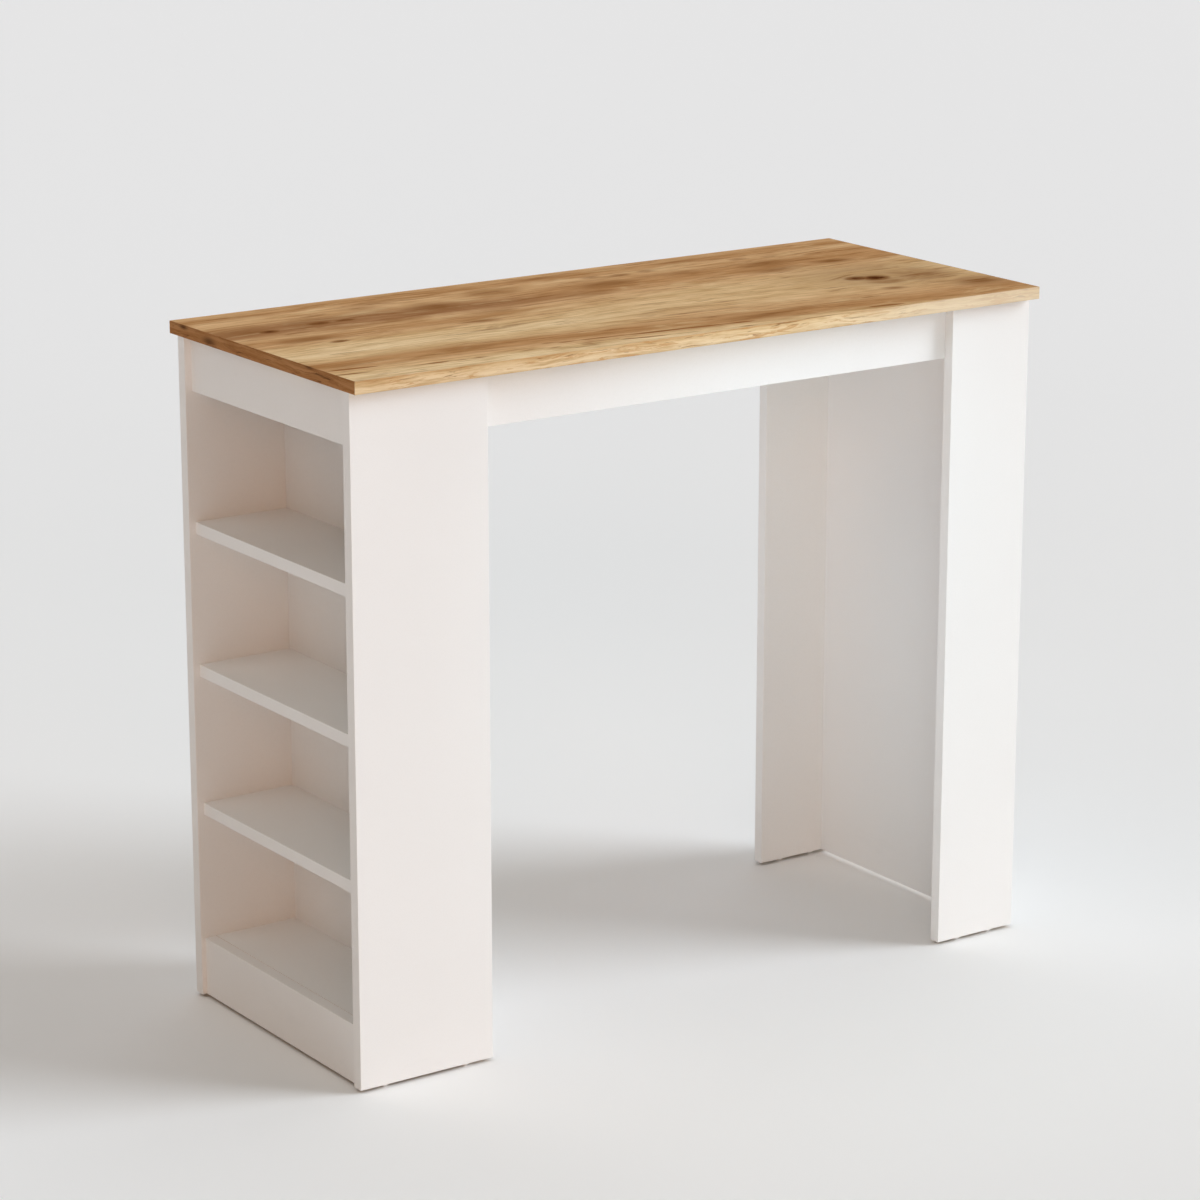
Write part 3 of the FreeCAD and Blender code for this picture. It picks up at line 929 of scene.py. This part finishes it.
@dataclass(frozen=True)
class BareMetal:
    """Bare metal of the cams, bolts and nails, with cast or drawn texture."""

    name: str
    tone: Colour
    roughness: float
    texture_scale: float
    texture_depth: float

    def material(self) -> Material:
        """Makes the finish of one kind of metal piece.

        Returns:
            The material.
        """
        material, graph = new_material(self.name)
        place = graph.position()
        skin = graph.noise(place, self.texture_scale, 3.0, 0.6)
        tarnish = graph.noise(place, self.texture_scale / 9.0, 3.0, 0.6)
        colour = graph.ramp(tarnish, ((0.3, shaded(self.tone, 0.78)), (0.65, self.tone)))
        gloss = graph.line(skin, 0.25, self.roughness - 0.12)
        normal = graph.bump(skin, self.texture_depth)
        graph.surface(Base_Color=colour, Metallic=1.0, Roughness=gloss, Normal=normal)
        return material


@dataclass(frozen=True)
class MouldedPlastic:
    """Moulded white plastic of the glides and cover caps, finely grained and a little scuffed."""

    name: str = "moulded_white_plastic"
    tone: Colour = screen(238, 236, 232)

    def material(self) -> Material:
        """Makes the finish of the plastic pieces.

        Returns:
            The material.
        """
        material, graph = new_material(self.name)
        place = graph.position()
        grain = graph.noise(place, 2400.0, 2.0, 0.5)
        scuff = graph.between(graph.noise(place, 260.0, 4.0, 0.65), 0.56, 0.72)
        colour = graph.mix(graph.times(scuff, 0.18), self.tone, shaded(self.tone, 0.62))
        gloss = graph.line(scuff, 0.25, 0.40)
        graph.surface(Base_Color=colour, Roughness=gloss, Normal=graph.bump(grain, 0.03 * MM))
        return material


def dress(nodes: Iterable[str], material: Material) -> None:
    """Gives packed boards or bands their finish.

    Args:
        nodes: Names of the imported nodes.
        material: The finish.
    """
    for name in nodes:
        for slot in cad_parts[name].material_slots:
            slot.material = material
        log.info("%s is finished in %s", name, material.name)


def turned(profile: Sequence[tuple[float, float]], steps: int) -> Solid:
    """Turns a profile about the Z axis into a closed solid.

    Args:
        profile: Radius and height of each point, from the axis back to the axis.
        steps: Number of facets round the axis.

    Returns:
        The solid's mesh.
    """
    mesh = bmesh.new()
    points = [mesh.verts.new((radius, 0.0, height)) for radius, height in profile]
    lines = [mesh.edges.new(pair) for pair in zip(points, points[1:])]
    bmesh.ops.spin(
        mesh,
        geom=points + lines,
        cent=(0, 0, 0),
        axis=Axis.Z.value,
        angle=math.tau,
        steps=steps,
        use_merge=True,
    )
    bmesh.ops.remove_doubles(mesh, verts=mesh.verts, dist=WELD)
    bmesh.ops.recalc_face_normals(mesh, faces=mesh.faces)
    return mesh


def seat(spot: Vector, direction: Vector, quarter: Optional[Vector] = None) -> Matrix:
    """Returns the placement that stands a piece's Z axis along a direction.

    Args:
        spot: Where the piece's origin goes.
        direction: Where its Z axis points.
        quarter: Where its X axis points, if that matters.

    Returns:
        The placement.
    """
    upward = direction.normalized()
    side = quarter.normalized() if quarter else upward.orthogonal().normalized()
    turn = Matrix((side, upward.cross(side), upward)).transposed()
    return Matrix.Translation(spot) @ turn.to_4x4()


def set_out(
    name: str,
    pattern: Solid,
    places: Sequence[Matrix],
    material: Material,
    stands_for: str,
) -> bpy.types.Object:
    """Sets copies of one small piece at their places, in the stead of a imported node.

    Args:
        name: Name of the set.
        pattern: Mesh of one piece, used up here.
        places: Placement of each copy.
        material: The finish.
        stands_for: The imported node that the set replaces.

    Returns:
        The set's object.
    """
    single = bpy.data.meshes.new(f"{name}_single")
    pattern.to_mesh(single)
    pattern.free()
    whole = bmesh.new()
    for place in places:
        whole.from_mesh(single)
        whole.verts.ensure_lookup_table()
        copy = whole.verts[-len(single.vertices):]
        bmesh.ops.transform(whole, matrix=place, verts=copy)
    mesh = bpy.data.meshes.new(name)
    whole.to_mesh(mesh)
    whole.free()
    bpy.data.meshes.remove(single)
    mesh.shade_smooth()
    mesh.set_sharp_from_angle(angle=CREASE)
    mesh.materials.append(material)
    piece = put(name, mesh)
    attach(piece, ROOT_BODY)
    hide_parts(stands_for)
    log.info("%s holds %d pieces and %d faces", name, len(places), len(mesh.polygons))
    return piece


@dataclass(frozen=True)
class Joint:
    """A place where a board's edge meets another board's face."""

    spot: Vector
    into: Vector
    face: Vector

    def bore(self, depth: float) -> Matrix:
        """Returns the placement of a peg that reaches from a depth in the face into the board's edge."""
        return seat(self.spot - self.into * depth, self.into)


PEDESTALS = {
    "bookcase": ("bookcase_front_side", "bookcase_rear_side"),
    "leg": ("leg_front_panel", "leg_rear_panel"),
}


def upright_spots(pedestal: str, inset: float) -> list[Vector]:
    """Finds where fittings go in the uprights' upper and lower edges.

    Args:
        pedestal: The pedestal's name.
        inset: Distance from the uprights' banded edges.

    Returns:
        Two points for each upright, at its upper edge.
    """
    left, right = (corner.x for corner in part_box(f"{pedestal}_upright_edge_bands"))
    spots = []
    for upright in PEDESTALS[pedestal]:
        low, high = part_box(upright)
        for x in (left + inset, right - inset):
            spots.append(Vector((x, (low.y + high.y) / 2, high.z)))
    return spots


def aprons() -> list[tuple[Vector, Vector, Vector]]:
    """Finds both aprons.

    Returns:
        For each, its two corners and half its thickness towards the knee space.
    """
    sides = []
    for name, sign in (("front_apron", 1), ("rear_apron", -1)):
        low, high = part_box(name)
        sides.append((low, high, Vector((0, sign * (high.y - low.y) / 2, 0))))
    return sides


def apron_joints(rise: float) -> list[Joint]:
    """Finds the joints of the aprons' ends with both pedestals.

    Args:
        rise: Height above the aprons' lower edges.

    Returns:
        A joint for each end of each apron.
    """
    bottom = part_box("apron_edge_bands")[0].z
    joints = []
    for low, high, face in aprons():
        for x, into in ((low.x, Vector((1, 0, 0))), (high.x, Vector((-1, 0, 0)))):
            joints.append(Joint(Vector((x, (low.y + high.y) / 2, bottom + rise)), into, face))
    return joints


@dataclass
class TableTop:
    """Wood-decor top with its four edge bands."""

    core: str = "table_top"
    long_bands: str = "top_long_edge_bands"
    end_bands: str = "top_end_edge_bands"
    long_tones: Stops = (
        (0.00, screen(214, 184, 142)),
        (0.25, screen(228, 202, 162)),
        (0.60, screen(226, 198, 156)),
        (0.90, screen(218, 186, 140)),
        (1.00, screen(204, 164, 116)),
    )
    end_tones: Stops = (
        (0.00, screen(180, 130, 83)),
        (0.35, screen(172, 122, 77)),
        (0.70, screen(182, 133, 87)),
        (1.00, screen(168, 120, 77)),
    )
    end_spots: tuple[Mark, ...] = (
        Mark(0.210, 0.9970, 0.020, 0.0050, 0.9),
        Mark(0.137, 0.9890, 0.030, 0.0090, 0.8),
        Mark(-0.134, 0.9990, 0.018, 0.0040, 0.8),
    )

    def dress(self) -> None:
        """Finishes the core board and the edge bands."""
        dress([self.core], OakDecor().material())
        long_edge = OakEdge(
            run=Axis.X,
            name="oak_edge_long",
            tones=self.long_tones,
            patch_tone=screen(196, 146, 92),
            line_tone=screen(140, 92, 48),
            pale_tone=screen(232, 216, 190),
            pale_share=0.55,
        )
        end_edge = OakEdge(
            run=Axis.Y,
            name="oak_edge_end",
            tones=self.end_tones,
            patch_tone=screen(150, 102, 62),
            line_tone=screen(84, 54, 32),
            pale_tone=screen(186, 134, 86),
            spots=self.end_spots,
        )
        dress([self.long_bands], long_edge.material())
        dress([self.end_bands], end_edge.material())


@dataclass
class Carcase:
    """White boards of both pedestals and the aprons, grouped by the axis that their faces look along."""

    boards: dict[Axis, tuple[str, ...]] = field(
        default_factory=lambda: {
            Axis.X: ("bookcase_back_panel", "bookcase_top_rail", "plinth_board", "leg_web_panel"),
            Axis.Y: (
                "bookcase_front_side",
                "bookcase_rear_side",
                "leg_front_panel",
                "leg_rear_panel",
                "front_apron",
                "rear_apron",
            ),
            Axis.Z: ("upper_shelf", "middle_shelf", "lower_shelf", "bottom_shelf"),
        }
    )
    bands: tuple[str, ...] = (
        "bookcase_upright_edge_bands",
        "leg_upright_edge_bands",
        "shelf_edge_bands",
        "rail_edge_band",
        "plinth_edge_band",
        "apron_edge_bands",
    )

    def dress(self) -> None:
        """Finishes the white boards and their edge bands."""
        for axis, nodes in self.boards.items():
            dress(nodes, WhiteMelamine(axis).material())
        dress(self.bands, WhiteEdge().material())


@dataclass
class Glides:
    """Nailed plastic glides under the four uprights."""

    diameter: float = 14.0 * MM
    foot_diameter: float = 8.0 * MM
    flange: float = 2.0 * MM
    inset: float = 42.0 * MM
    rounding: float = 0.5 * MM
    facets: int = 40

    def build(self, material: Material, nail: Material) -> None:
        """Models the glides of both pedestals and finishes their nails.

        Args:
            material: Finish of the glides.
            nail: Finish of the nails.
        """
        for pedestal in PEDESTALS:
            node = f"{pedestal}_glides"
            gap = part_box(f"{pedestal}_upright_edge_bands")[0].z
            spots = upright_spots(pedestal, self.inset)
            places = [Matrix.Translation((spot.x, spot.y, 0.0)) for spot in spots]
            set_out(f"{node}_turned", self._pattern(gap), places, material, node)
        dress(["glide_nails"], nail)

    def _pattern(self, height: float) -> Solid:
        """Models one glide: a tapered foot under a round flange, softened at its rims.

        Args:
            height: The gap that the glide fills.

        Returns:
            The glide's mesh, standing on its foot.
        """
        foot = self.foot_diameter / 2
        rim = self.diameter / 2
        soft = self.rounding
        shoulder = height - self.flange
        profile = (
            (0.0, 0.0),
            (foot - soft, 0.0),
            (foot - soft * 0.3, soft * 0.3),
            (foot, soft),
            (rim - soft * 1.5, shoulder - soft),
            (rim - soft * 0.3, shoulder - soft * 0.3),
            (rim, shoulder + soft * 0.5),
            (rim, height - soft),
            (rim - soft * 0.3, height - soft * 0.3),
            (rim - soft, height),
            (0.0, height),
        )
        return turned(profile, self.facets)


@dataclass
class CamFittings:
    """Cams, connecting bolts and cover caps of the knock-down joints."""

    cam_radius: float = 7.3 * MM
    cam_depth: float = 12.5 * MM
    cam_reach: float = 24.0 * MM
    slot_length: float = 9.0 * MM
    slot_width: float = 2.0 * MM
    slot_depth: float = 3.0 * MM
    rim: float = 0.4 * MM
    bolt_radius: float = 2.7 * MM
    core_share: float = 0.72
    neck_share: float = 0.62
    bolt_in_face: float = 11.0 * MM
    bolt_facets: int = 20
    thread_pitch: float = 1.25 * MM
    thread_start: float = 0.6 * MM
    thread_gap: float = 1.5 * MM
    cap_radius: float = 8.5 * MM
    cap_thickness: float = 1.2 * MM
    upright_inset: float = 170.0 * MM
    apron_inset: float = 53.0 * MM
    top_spacing: float = 600.0 * MM
    facets: int = 40

    def build(self, zinc: Material, steel: Material, plastic: Material) -> None:
        """Models every cam fitting.

        Args:
            zinc: Finish of the cams.
            steel: Finish of the bolts.
            plastic: Finish of the cover caps.
        """
        rows = {
            "back_panel": self._cross_joints("bookcase_back_panel"),
            "web": self._cross_joints("leg_web_panel"),
            "apron": apron_joints(self.apron_inset),
            "top_fixing": self._top_joints(),
        }
        for row, joints in rows.items():
            ends = [joint.spot + joint.into * self.cam_reach + joint.face for joint in joints]
            cams = [seat(end, joint.face, joint.into) for end, joint in zip(ends, joints)]
            bolts = [joint.bore(self.bolt_in_face) for joint in joints]
            set_out(f"{row}_cams_cast", self._cam(), cams, zinc, f"{row}_cams")
            set_out(f"{row}_bolts_turned", self._bolt(), bolts, steel, f"{row}_bolts")
            if row in ("back_panel", "web"):
                caps = [seat(end, joint.face) for end, joint in zip(ends, joints)]
                node = f"{row}_cam_caps"
                set_out(f"{row}_caps_moulded", self._cap(), caps, plastic, node)

    def _cross_joints(self, panel: str) -> list[Joint]:
        """Finds the joints of a cross panel's two standing edges with the uprights.

        Args:
            panel: Name of the panel's node.

        Returns:
            A lower and an upper joint for each edge.
        """
        low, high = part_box(panel)
        half = (high.x - low.x) / 2
        joints = []
        for y, into in ((low.y, Vector((0, 1, 0))), (high.y, Vector((0, -1, 0)))):
            for z in (low.z + self.upright_inset, high.z - self.upright_inset):
                joints.append(Joint(Vector((low.x + half, y, z)), into, Vector((half, 0, 0))))
        return joints

    def _top_joints(self) -> list[Joint]:
        """Finds the joints of the aprons' upper edges with the table top.

        Returns:
            Two joints for each apron.
        """
        joints = []
        for low, high, face in aprons():
            for x in (-self.top_spacing / 2, self.top_spacing / 2):
                spot = Vector((x, (low.y + high.y) / 2, high.z))
                joints.append(Joint(spot, Vector((0, 0, -1)), face))
        return joints

    def _cam(self) -> Solid:
        """Models one cam: a cast disc with a chamfered rim and a cross recess in its open end.

        Returns:
            The cam's mesh, with its open end at the origin.
        """
        mesh = bmesh.new()
        down = Matrix.Translation((0, 0, -self.cam_depth / 2))
        bmesh.ops.create_cone(
            mesh,
            cap_ends=True,
            segments=self.facets,
            radius1=self.cam_radius,
            radius2=self.cam_radius,
            depth=self.cam_depth,
            matrix=down,
        )
        rims = [edge for edge in mesh.edges if abs(edge.verts[0].co.z - edge.verts[1].co.z) < WELD]
        bmesh.ops.bevel(
            mesh, geom=rims, offset=self.rim, segments=2, profile=0.5, affect="EDGES", material=-1
        )
        long, wide = self.slot_length / 2, self.slot_width / 2
        for direction in (Vector((1, 0, 0)), Vector((0, 1, 0))):
            for distance in (-long, -wide, wide, long):
                open_end = [face for face in mesh.faces if face.normal.z > LOOKS_UP]
                around = dict.fromkeys(edge for face in open_end for edge in face.edges)
                corners = dict.fromkeys(corner for face in open_end for corner in face.verts)
                cut = [*open_end, *around, *corners]
                bmesh.ops.bisect_plane(mesh, geom=cut, plane_co=direction * distance, plane_no=direction)
        recess = []
        for face in mesh.faces:
            middle = face.calc_center_median()
            near, far = sorted((abs(middle.x), abs(middle.y)))
            if face.normal.z > LOOKS_UP and near < wide and far < long:
                recess.append(face)
        sunk = bmesh.ops.extrude_face_region(mesh, geom=recess)["geom"]
        bmesh.ops.delete(mesh, geom=recess, context="FACES_ONLY")
        floor = [item for item in sunk if isinstance(item, bmesh.types.BMVert)]
        bmesh.ops.translate(mesh, verts=floor, vec=(0, 0, -self.slot_depth))
        bmesh.ops.recalc_face_normals(mesh, faces=mesh.faces)
        return mesh

    def _bolt(self) -> Solid:
        """Models one connecting bolt: a thread, a collar at the joint, a shank, a neck and a round head.

        Returns:
            The bolt's mesh, with its thread's end at the origin.
        """
        outer = self.bolt_radius
        core = outer * self.core_share
        neck = core * self.neck_share
        collar = self.bolt_in_face
        length = collar + self.cam_reach
        profile = [(0.0, 0.0), (core * 0.7, 0.0)]
        for i in range(int((collar - self.thread_gap) / self.thread_pitch)):
            start = self.thread_start + i * self.thread_pitch
            profile += [(core, start), (outer, start + self.thread_pitch / 2)]
        profile += [
            (core, collar - 0.8 * MM),
            (outer, collar - 0.6 * MM),
            (outer, collar),
            (core, collar + 0.3 * MM),
            (core, length - 8.0 * MM),
            (neck, length - 7.0 * MM),
            (neck, length - 4.4 * MM),
            (outer * 0.86, length - 3.4 * MM),
            (outer, length - 2.2 * MM),
            (outer * 0.86, length - 0.9 * MM),
            (outer * 0.45, length - 0.2 * MM),
            (0.0, length - 0.1 * MM),
        ]
        return turned(profile, self.bolt_facets)

    def _cap(self) -> Solid:
        """Models one cover cap: a low dome with a softened rim.

        Returns:
            The cap's mesh, with its flat side at the origin.
        """
        edge = self.cap_radius
        thick = self.cap_thickness
        profile = (
            (0.0, 0.0),
            (edge - 0.1 * MM, 0.0),
            (edge, 0.15 * MM),
            (edge, thick * 0.45),
            (edge - 0.25 * MM, thick * 0.70),
            (edge - 0.9 * MM, thick * 0.86),
            (edge * 0.6, thick * 0.96),
            (0.0, thick),
        )
        return turned(profile, self.facets)


@dataclass
class Dowels:
    """Fluted beech dowels of every dowelled joint."""

    radius: float = 3.65 * MM
    flute: float = 0.35 * MM
    flutes: int = 12
    in_face: float = 11.0 * MM
    in_edge: float = 19.0 * MM
    chamfer: float = 1.0 * MM
    shelf_inset: float = 35.0 * MM
    strip_inset: float = 21.0 * MM
    upright_inset: float = 45.0 * MM

    def build(self, material: Material) -> None:
        """Models every row of dowels.

        Args:
            material: Finish of the dowels.
        """
        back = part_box("bookcase_back_panel")[0].x
        shelf_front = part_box("shelf_edge_bands")[0].x
        plinth_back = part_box("plinth_board")[1].x
        shelves = []
        for shelf in ("upper_shelf", "middle_shelf", "lower_shelf"):
            shelves += self._shelf_row(shelf, shelf_front, back)
        rows = {
            "shelf_dowels": shelves,
            "bottom_shelf_dowels": self._shelf_row("bottom_shelf", plinth_back, back),
            "top_rail_dowels": self._strip_row("bookcase_top_rail", "rail_edge_band"),
            "plinth_dowels": self._strip_row("plinth_board", "plinth_edge_band"),
            "apron_dowels": [joint.bore(self.in_face) for joint in apron_joints(self.strip_inset)],
            "top_dowels": self._top_row(),
        }
        for node, places in rows.items():
            set_out(f"{node}_fluted", self._pattern(), places, material, node)

    def _across(self, board: str, x: float, z: float) -> list[Matrix]:
        """Places a dowel at each end of a board that lies across the table.

        Args:
            board: Name of the board's node.
            x: Where the dowels are along the table.
            z: Their height.

        Returns:
            Both placements.
        """
        low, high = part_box(board)
        return [
            seat(Vector((x, low.y - self.in_face, z)), Vector((0, 1, 0))),
            seat(Vector((x, high.y + self.in_face, z)), Vector((0, -1, 0))),
        ]

    def _shelf_row(self, shelf: str, front: float, back: float) -> list[Matrix]:
        """Places one shelf's dowels.

        Args:
            shelf: Name of the shelf's node.
            front: Where the shelf begins.
            back: Where it ends.

        Returns:
            The placements.
        """
        low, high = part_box(shelf)
        places = []
        for x in (front + self.shelf_inset, back - self.shelf_inset):
            places += self._across(shelf, x, (low.z + high.z) / 2)
        return places

    def _strip_row(self, strip: str, band: str) -> list[Matrix]:
        """Places the dowels of a standing strip, whose height includes its band.

        Args:
            strip: Name of the strip's node.
            band: Name of its edge band's node.

        Returns:
            The placements.
        """
        low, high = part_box(strip)
        bottom = min(low.z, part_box(band)[0].z)
        top = max(high.z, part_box(band)[1].z)
        places = []
        for z in (bottom + self.strip_inset, top - self.strip_inset):
            places += self._across(strip, (low.x + high.x) / 2, z)
        return places

    def _top_row(self) -> list[Matrix]:
        """Places the dowels between the uprights and the top.

        Returns:
            The placements.
        """
        rise = Vector((0, 0, self.in_face))
        spots = [spot for pedestal in PEDESTALS for spot in upright_spots(pedestal, self.upright_inset)]
        return [seat(spot + rise, -rise) for spot in spots]

    def _pattern(self) -> Solid:
        """Models one dowel: a fluted peg with chamfered ends.

        Returns:
            The dowel's mesh, with one end at the origin.
        """
        mesh = bmesh.new()
        length = self.in_face + self.in_edge
        sides = self.flutes * 2
        ring = bmesh.ops.create_circle(mesh, cap_ends=True, segments=sides, radius=self.radius)["verts"]
        for i, corner in enumerate(ring):
            if i % 2:
                corner.co *= 1 - self.flute / self.radius
        tip = 1 - self.chamfer / self.radius * 0.6
        bmesh.ops.scale(mesh, vec=(tip, tip, 1.0), verts=ring)
        bottom = list(mesh.faces)
        for rise, factor in (
            (self.chamfer, 1 / tip),
            (length - 2 * self.chamfer, 1.0),
            (self.chamfer, tip),
        ):
            grown = bmesh.ops.extrude_face_region(mesh, geom=bottom)["geom"]
            corners = [item for item in grown if isinstance(item, bmesh.types.BMVert)]
            bmesh.ops.translate(mesh, verts=corners, vec=(0, 0, rise))
            bmesh.ops.scale(mesh, vec=(factor, factor, 1.0), verts=corners)
            bottom = [item for item in grown if isinstance(item, bmesh.types.BMFace)]
        bmesh.ops.recalc_face_normals(mesh, faces=mesh.faces)
        return mesh


@dataclass(frozen=True)
class Lamp:
    """A wide soft lamp far away: where it stands round the table, how high, how strong and which tint."""

    name: str
    bearing: float
    height: float
    power: float
    tint: Colour
    spread: float = 34.0
    distance: float = 5.0

    def hang(self) -> None:
        """Adds the lamp to the scene, turned to the table."""
        source = direction(self.bearing, self.height)
        light = bpy.data.lights.new(self.name, "SUN")
        light.energy = self.power
        light.color = self.tint
        light.angle = math.radians(self.spread)
        point(put(self.name, light, source * self.distance), -source)


@dataclass(frozen=True)
class Panel:
    """A light panel near the table, square unless it has a length of its own."""

    name: str
    spot: Point
    aim: Point
    size: float
    power: float
    tint: Colour
    spread: float = 180.0
    length: float = 0.0

    def stand(self) -> None:
        """Adds the panel to the scene, hidden from the camera."""
        light = bpy.data.lights.new(self.name, "AREA")
        light.shape = "RECTANGLE"
        light.size = self.size
        light.size_y = self.length or self.size
        light.spread = math.radians(self.spread)
        light.energy = self.power
        light.color = self.tint
        panel = put(self.name, light, self.spot)
        point(panel, Vector(self.aim) - Vector(self.spot))
        panel.visible_camera = False


@dataclass
class Studio:
    """Plain pale floor, soft lamps, even fill and the camera."""

    floor_radius: float = 60.0
    floor_sides: int = 96
    near_floor: float = 0.8
    far_floor: float = 6.0
    floor_tone: Colour = screen(247, 247, 246)
    far_tone: Colour = screen(250, 250, 250)
    backdrop_tone: Colour = screen(229, 229, 228)
    lamps: tuple[Lamp, ...] = (
        Lamp("key", 327.0, 25.0, 2.54, (0.87, 0.93, 1.0)),
        Lamp("high", 330.0, 70.0, 0.64, (1.0, 0.98, 0.91), 80.0),
        Lamp("left", 180.0, 50.0, 0.63, (1.0, 0.95, 0.89), 60.0),
        Lamp("back", 60.0, 40.0, 0.53, (0.92, 0.94, 1.0), 60.0),
        Lamp("front", 240.0, 10.0, 0.56, (1.0, 0.56, 0.34)),
    )
    panels: tuple[Panel, ...] = (
        Panel("leg_panel", (-0.5, -1.6, 0.7), (0.56, 0.0, 0.5), 0.5, 0.56, (0.46, 0.85, 1.0), 60.0),
        Panel("apron_panel", (0.1, -1.6, 0.95), (0.15, -0.2, 0.94), 0.4, 0.13, (0.58, 0.85, 1.0), 40.0),
        Panel("knee_panel", (-0.35, 0.0, 0.55), (0.56, 0.0, 0.6), 0.4, 0.42, (0.78, 0.83, 1.0), 120.0),
    )
    sill_power: float = 0.0105
    sill_tint: Colour = (0.82, 0.91, 1.0)
    sill_clearance: float = 0.2 * MM
    fill_power: float = 0.01
    fill_tone: Colour = (1.0, 1.0, 1.0)
    camera_spot: Point = (-3.10699, -4.44799, 2.04357)
    camera_bearing: float = 55.28
    camera_tilt: float = -15.3
    lens: float = 115.4
    sensor: float = 36.0
    sight: float = 200.0

    def build(self) -> None:
        """Sets up the floor, the lights and the camera."""
        self._floor()
        for lamp in self.lamps:
            lamp.hang()
        for panel in self.panels:
            panel.stand()
        self._sill_panel().stand()
        self._fill()
        self._camera()
        bpy.context.scene.view_settings.view_transform = "Standard"

    def _floor(self) -> None:
        """Lays the floor."""
        mesh = bmesh.new()
        bmesh.ops.create_circle(mesh, cap_ends=True, segments=self.floor_sides, radius=self.floor_radius)
        data = bpy.data.meshes.new("studio_floor")
        mesh.to_mesh(data)
        mesh.free()
        material, graph = new_material("studio_floor")
        place = graph.position()
        cloud = graph.noise(place, 0.8, 2.0, 0.5)
        colour = graph.ramp(cloud, ((0.3, shaded(self.floor_tone, 0.985)), (0.7, self.floor_tone)))
        far = graph.between(graph.measure("LENGTH", place), self.near_floor, self.far_floor)
        colour = graph.mix(far, colour, self.far_tone)
        graph.surface(Base_Color=colour, Roughness=0.9)
        data.materials.append(material)
        floor = put("studio_floor", data)

    def _sill_panel(self) -> Panel:
        """Fits a strip of light into the gap under the leg's web, which is lit from behind.

        Returns:
            The strip.
        """
        low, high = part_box("leg_web_panel")
        middle = (low + high) / 2
        spot = (middle.x, middle.y, low.z - self.sill_clearance)
        aim = (middle.x, middle.y, 0.0)
        width = high.x - low.x
        return Panel("sill_panel", spot, aim, width, self.sill_power, self.sill_tint, length=high.y - low.y)

    def _fill(self) -> None:
        """Lights the scene evenly, with a pale backdrop where the camera or gloss sees past the floor."""
        world = bpy.data.worlds.new("studio")
        world.use_nodes = True
        bpy.context.scene.world = world
        graph = ShaderGraph(world.node_tree)
        fill = graph.add("ShaderNodeBackground")
        graph.feed(fill.inputs["Color"], self.fill_tone)
        graph.feed(fill.inputs["Strength"], self.fill_power)
        backdrop = graph.add("ShaderNodeBackground")
        graph.feed(backdrop.inputs["Color"], self.backdrop_tone)
        rays = graph.add("ShaderNodeLightPath").outputs
        seen = graph.maths("MAXIMUM", rays["Is Camera Ray"], rays["Is Glossy Ray"])
        seen = graph.maths("MAXIMUM", seen, rays["Is Transmission Ray"])
        blend = graph.add("ShaderNodeMixShader")
        graph.feed(blend.inputs[0], seen)
        graph.tree.links.new(fill.outputs[0], blend.inputs[1])
        graph.tree.links.new(backdrop.outputs[0], blend.inputs[2])
        output = graph.add("ShaderNodeOutputWorld")
        graph.tree.links.new(blend.outputs[0], output.inputs["Surface"])

    def _camera(self) -> None:
        """Places the camera at the photograph's standpoint."""
        data = bpy.data.cameras.new("camera")
        data.lens = self.lens
        data.sensor_width = self.sensor
        data.clip_end = self.sight
        camera = put("camera", data, self.camera_spot)
        point(camera, direction(self.camera_bearing, self.camera_tilt))
        bpy.context.scene.camera = camera


def main() -> None:
    """Builds and dresses the table, and sets up the studio."""
    logging.basicConfig(level=logging.INFO, format="%(name)s: %(message)s")
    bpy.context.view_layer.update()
    zinc = BareMetal("cast_zinc", screen(186, 187, 188), 0.42, 1800.0, 0.05 * MM).material()
    steel = BareMetal("bright_steel", screen(202, 203, 206), 0.28, 2600.0, 0.02 * MM).material()
    plastic = MouldedPlastic().material()
    TableTop().dress()
    Carcase().dress()
    Glides().build(plastic, steel)
    CamFittings().build(zinc, steel, plastic)
    Dowels().build(BeechDowel().material())
    Studio().build()


if __name__ == "__main__":
    main()
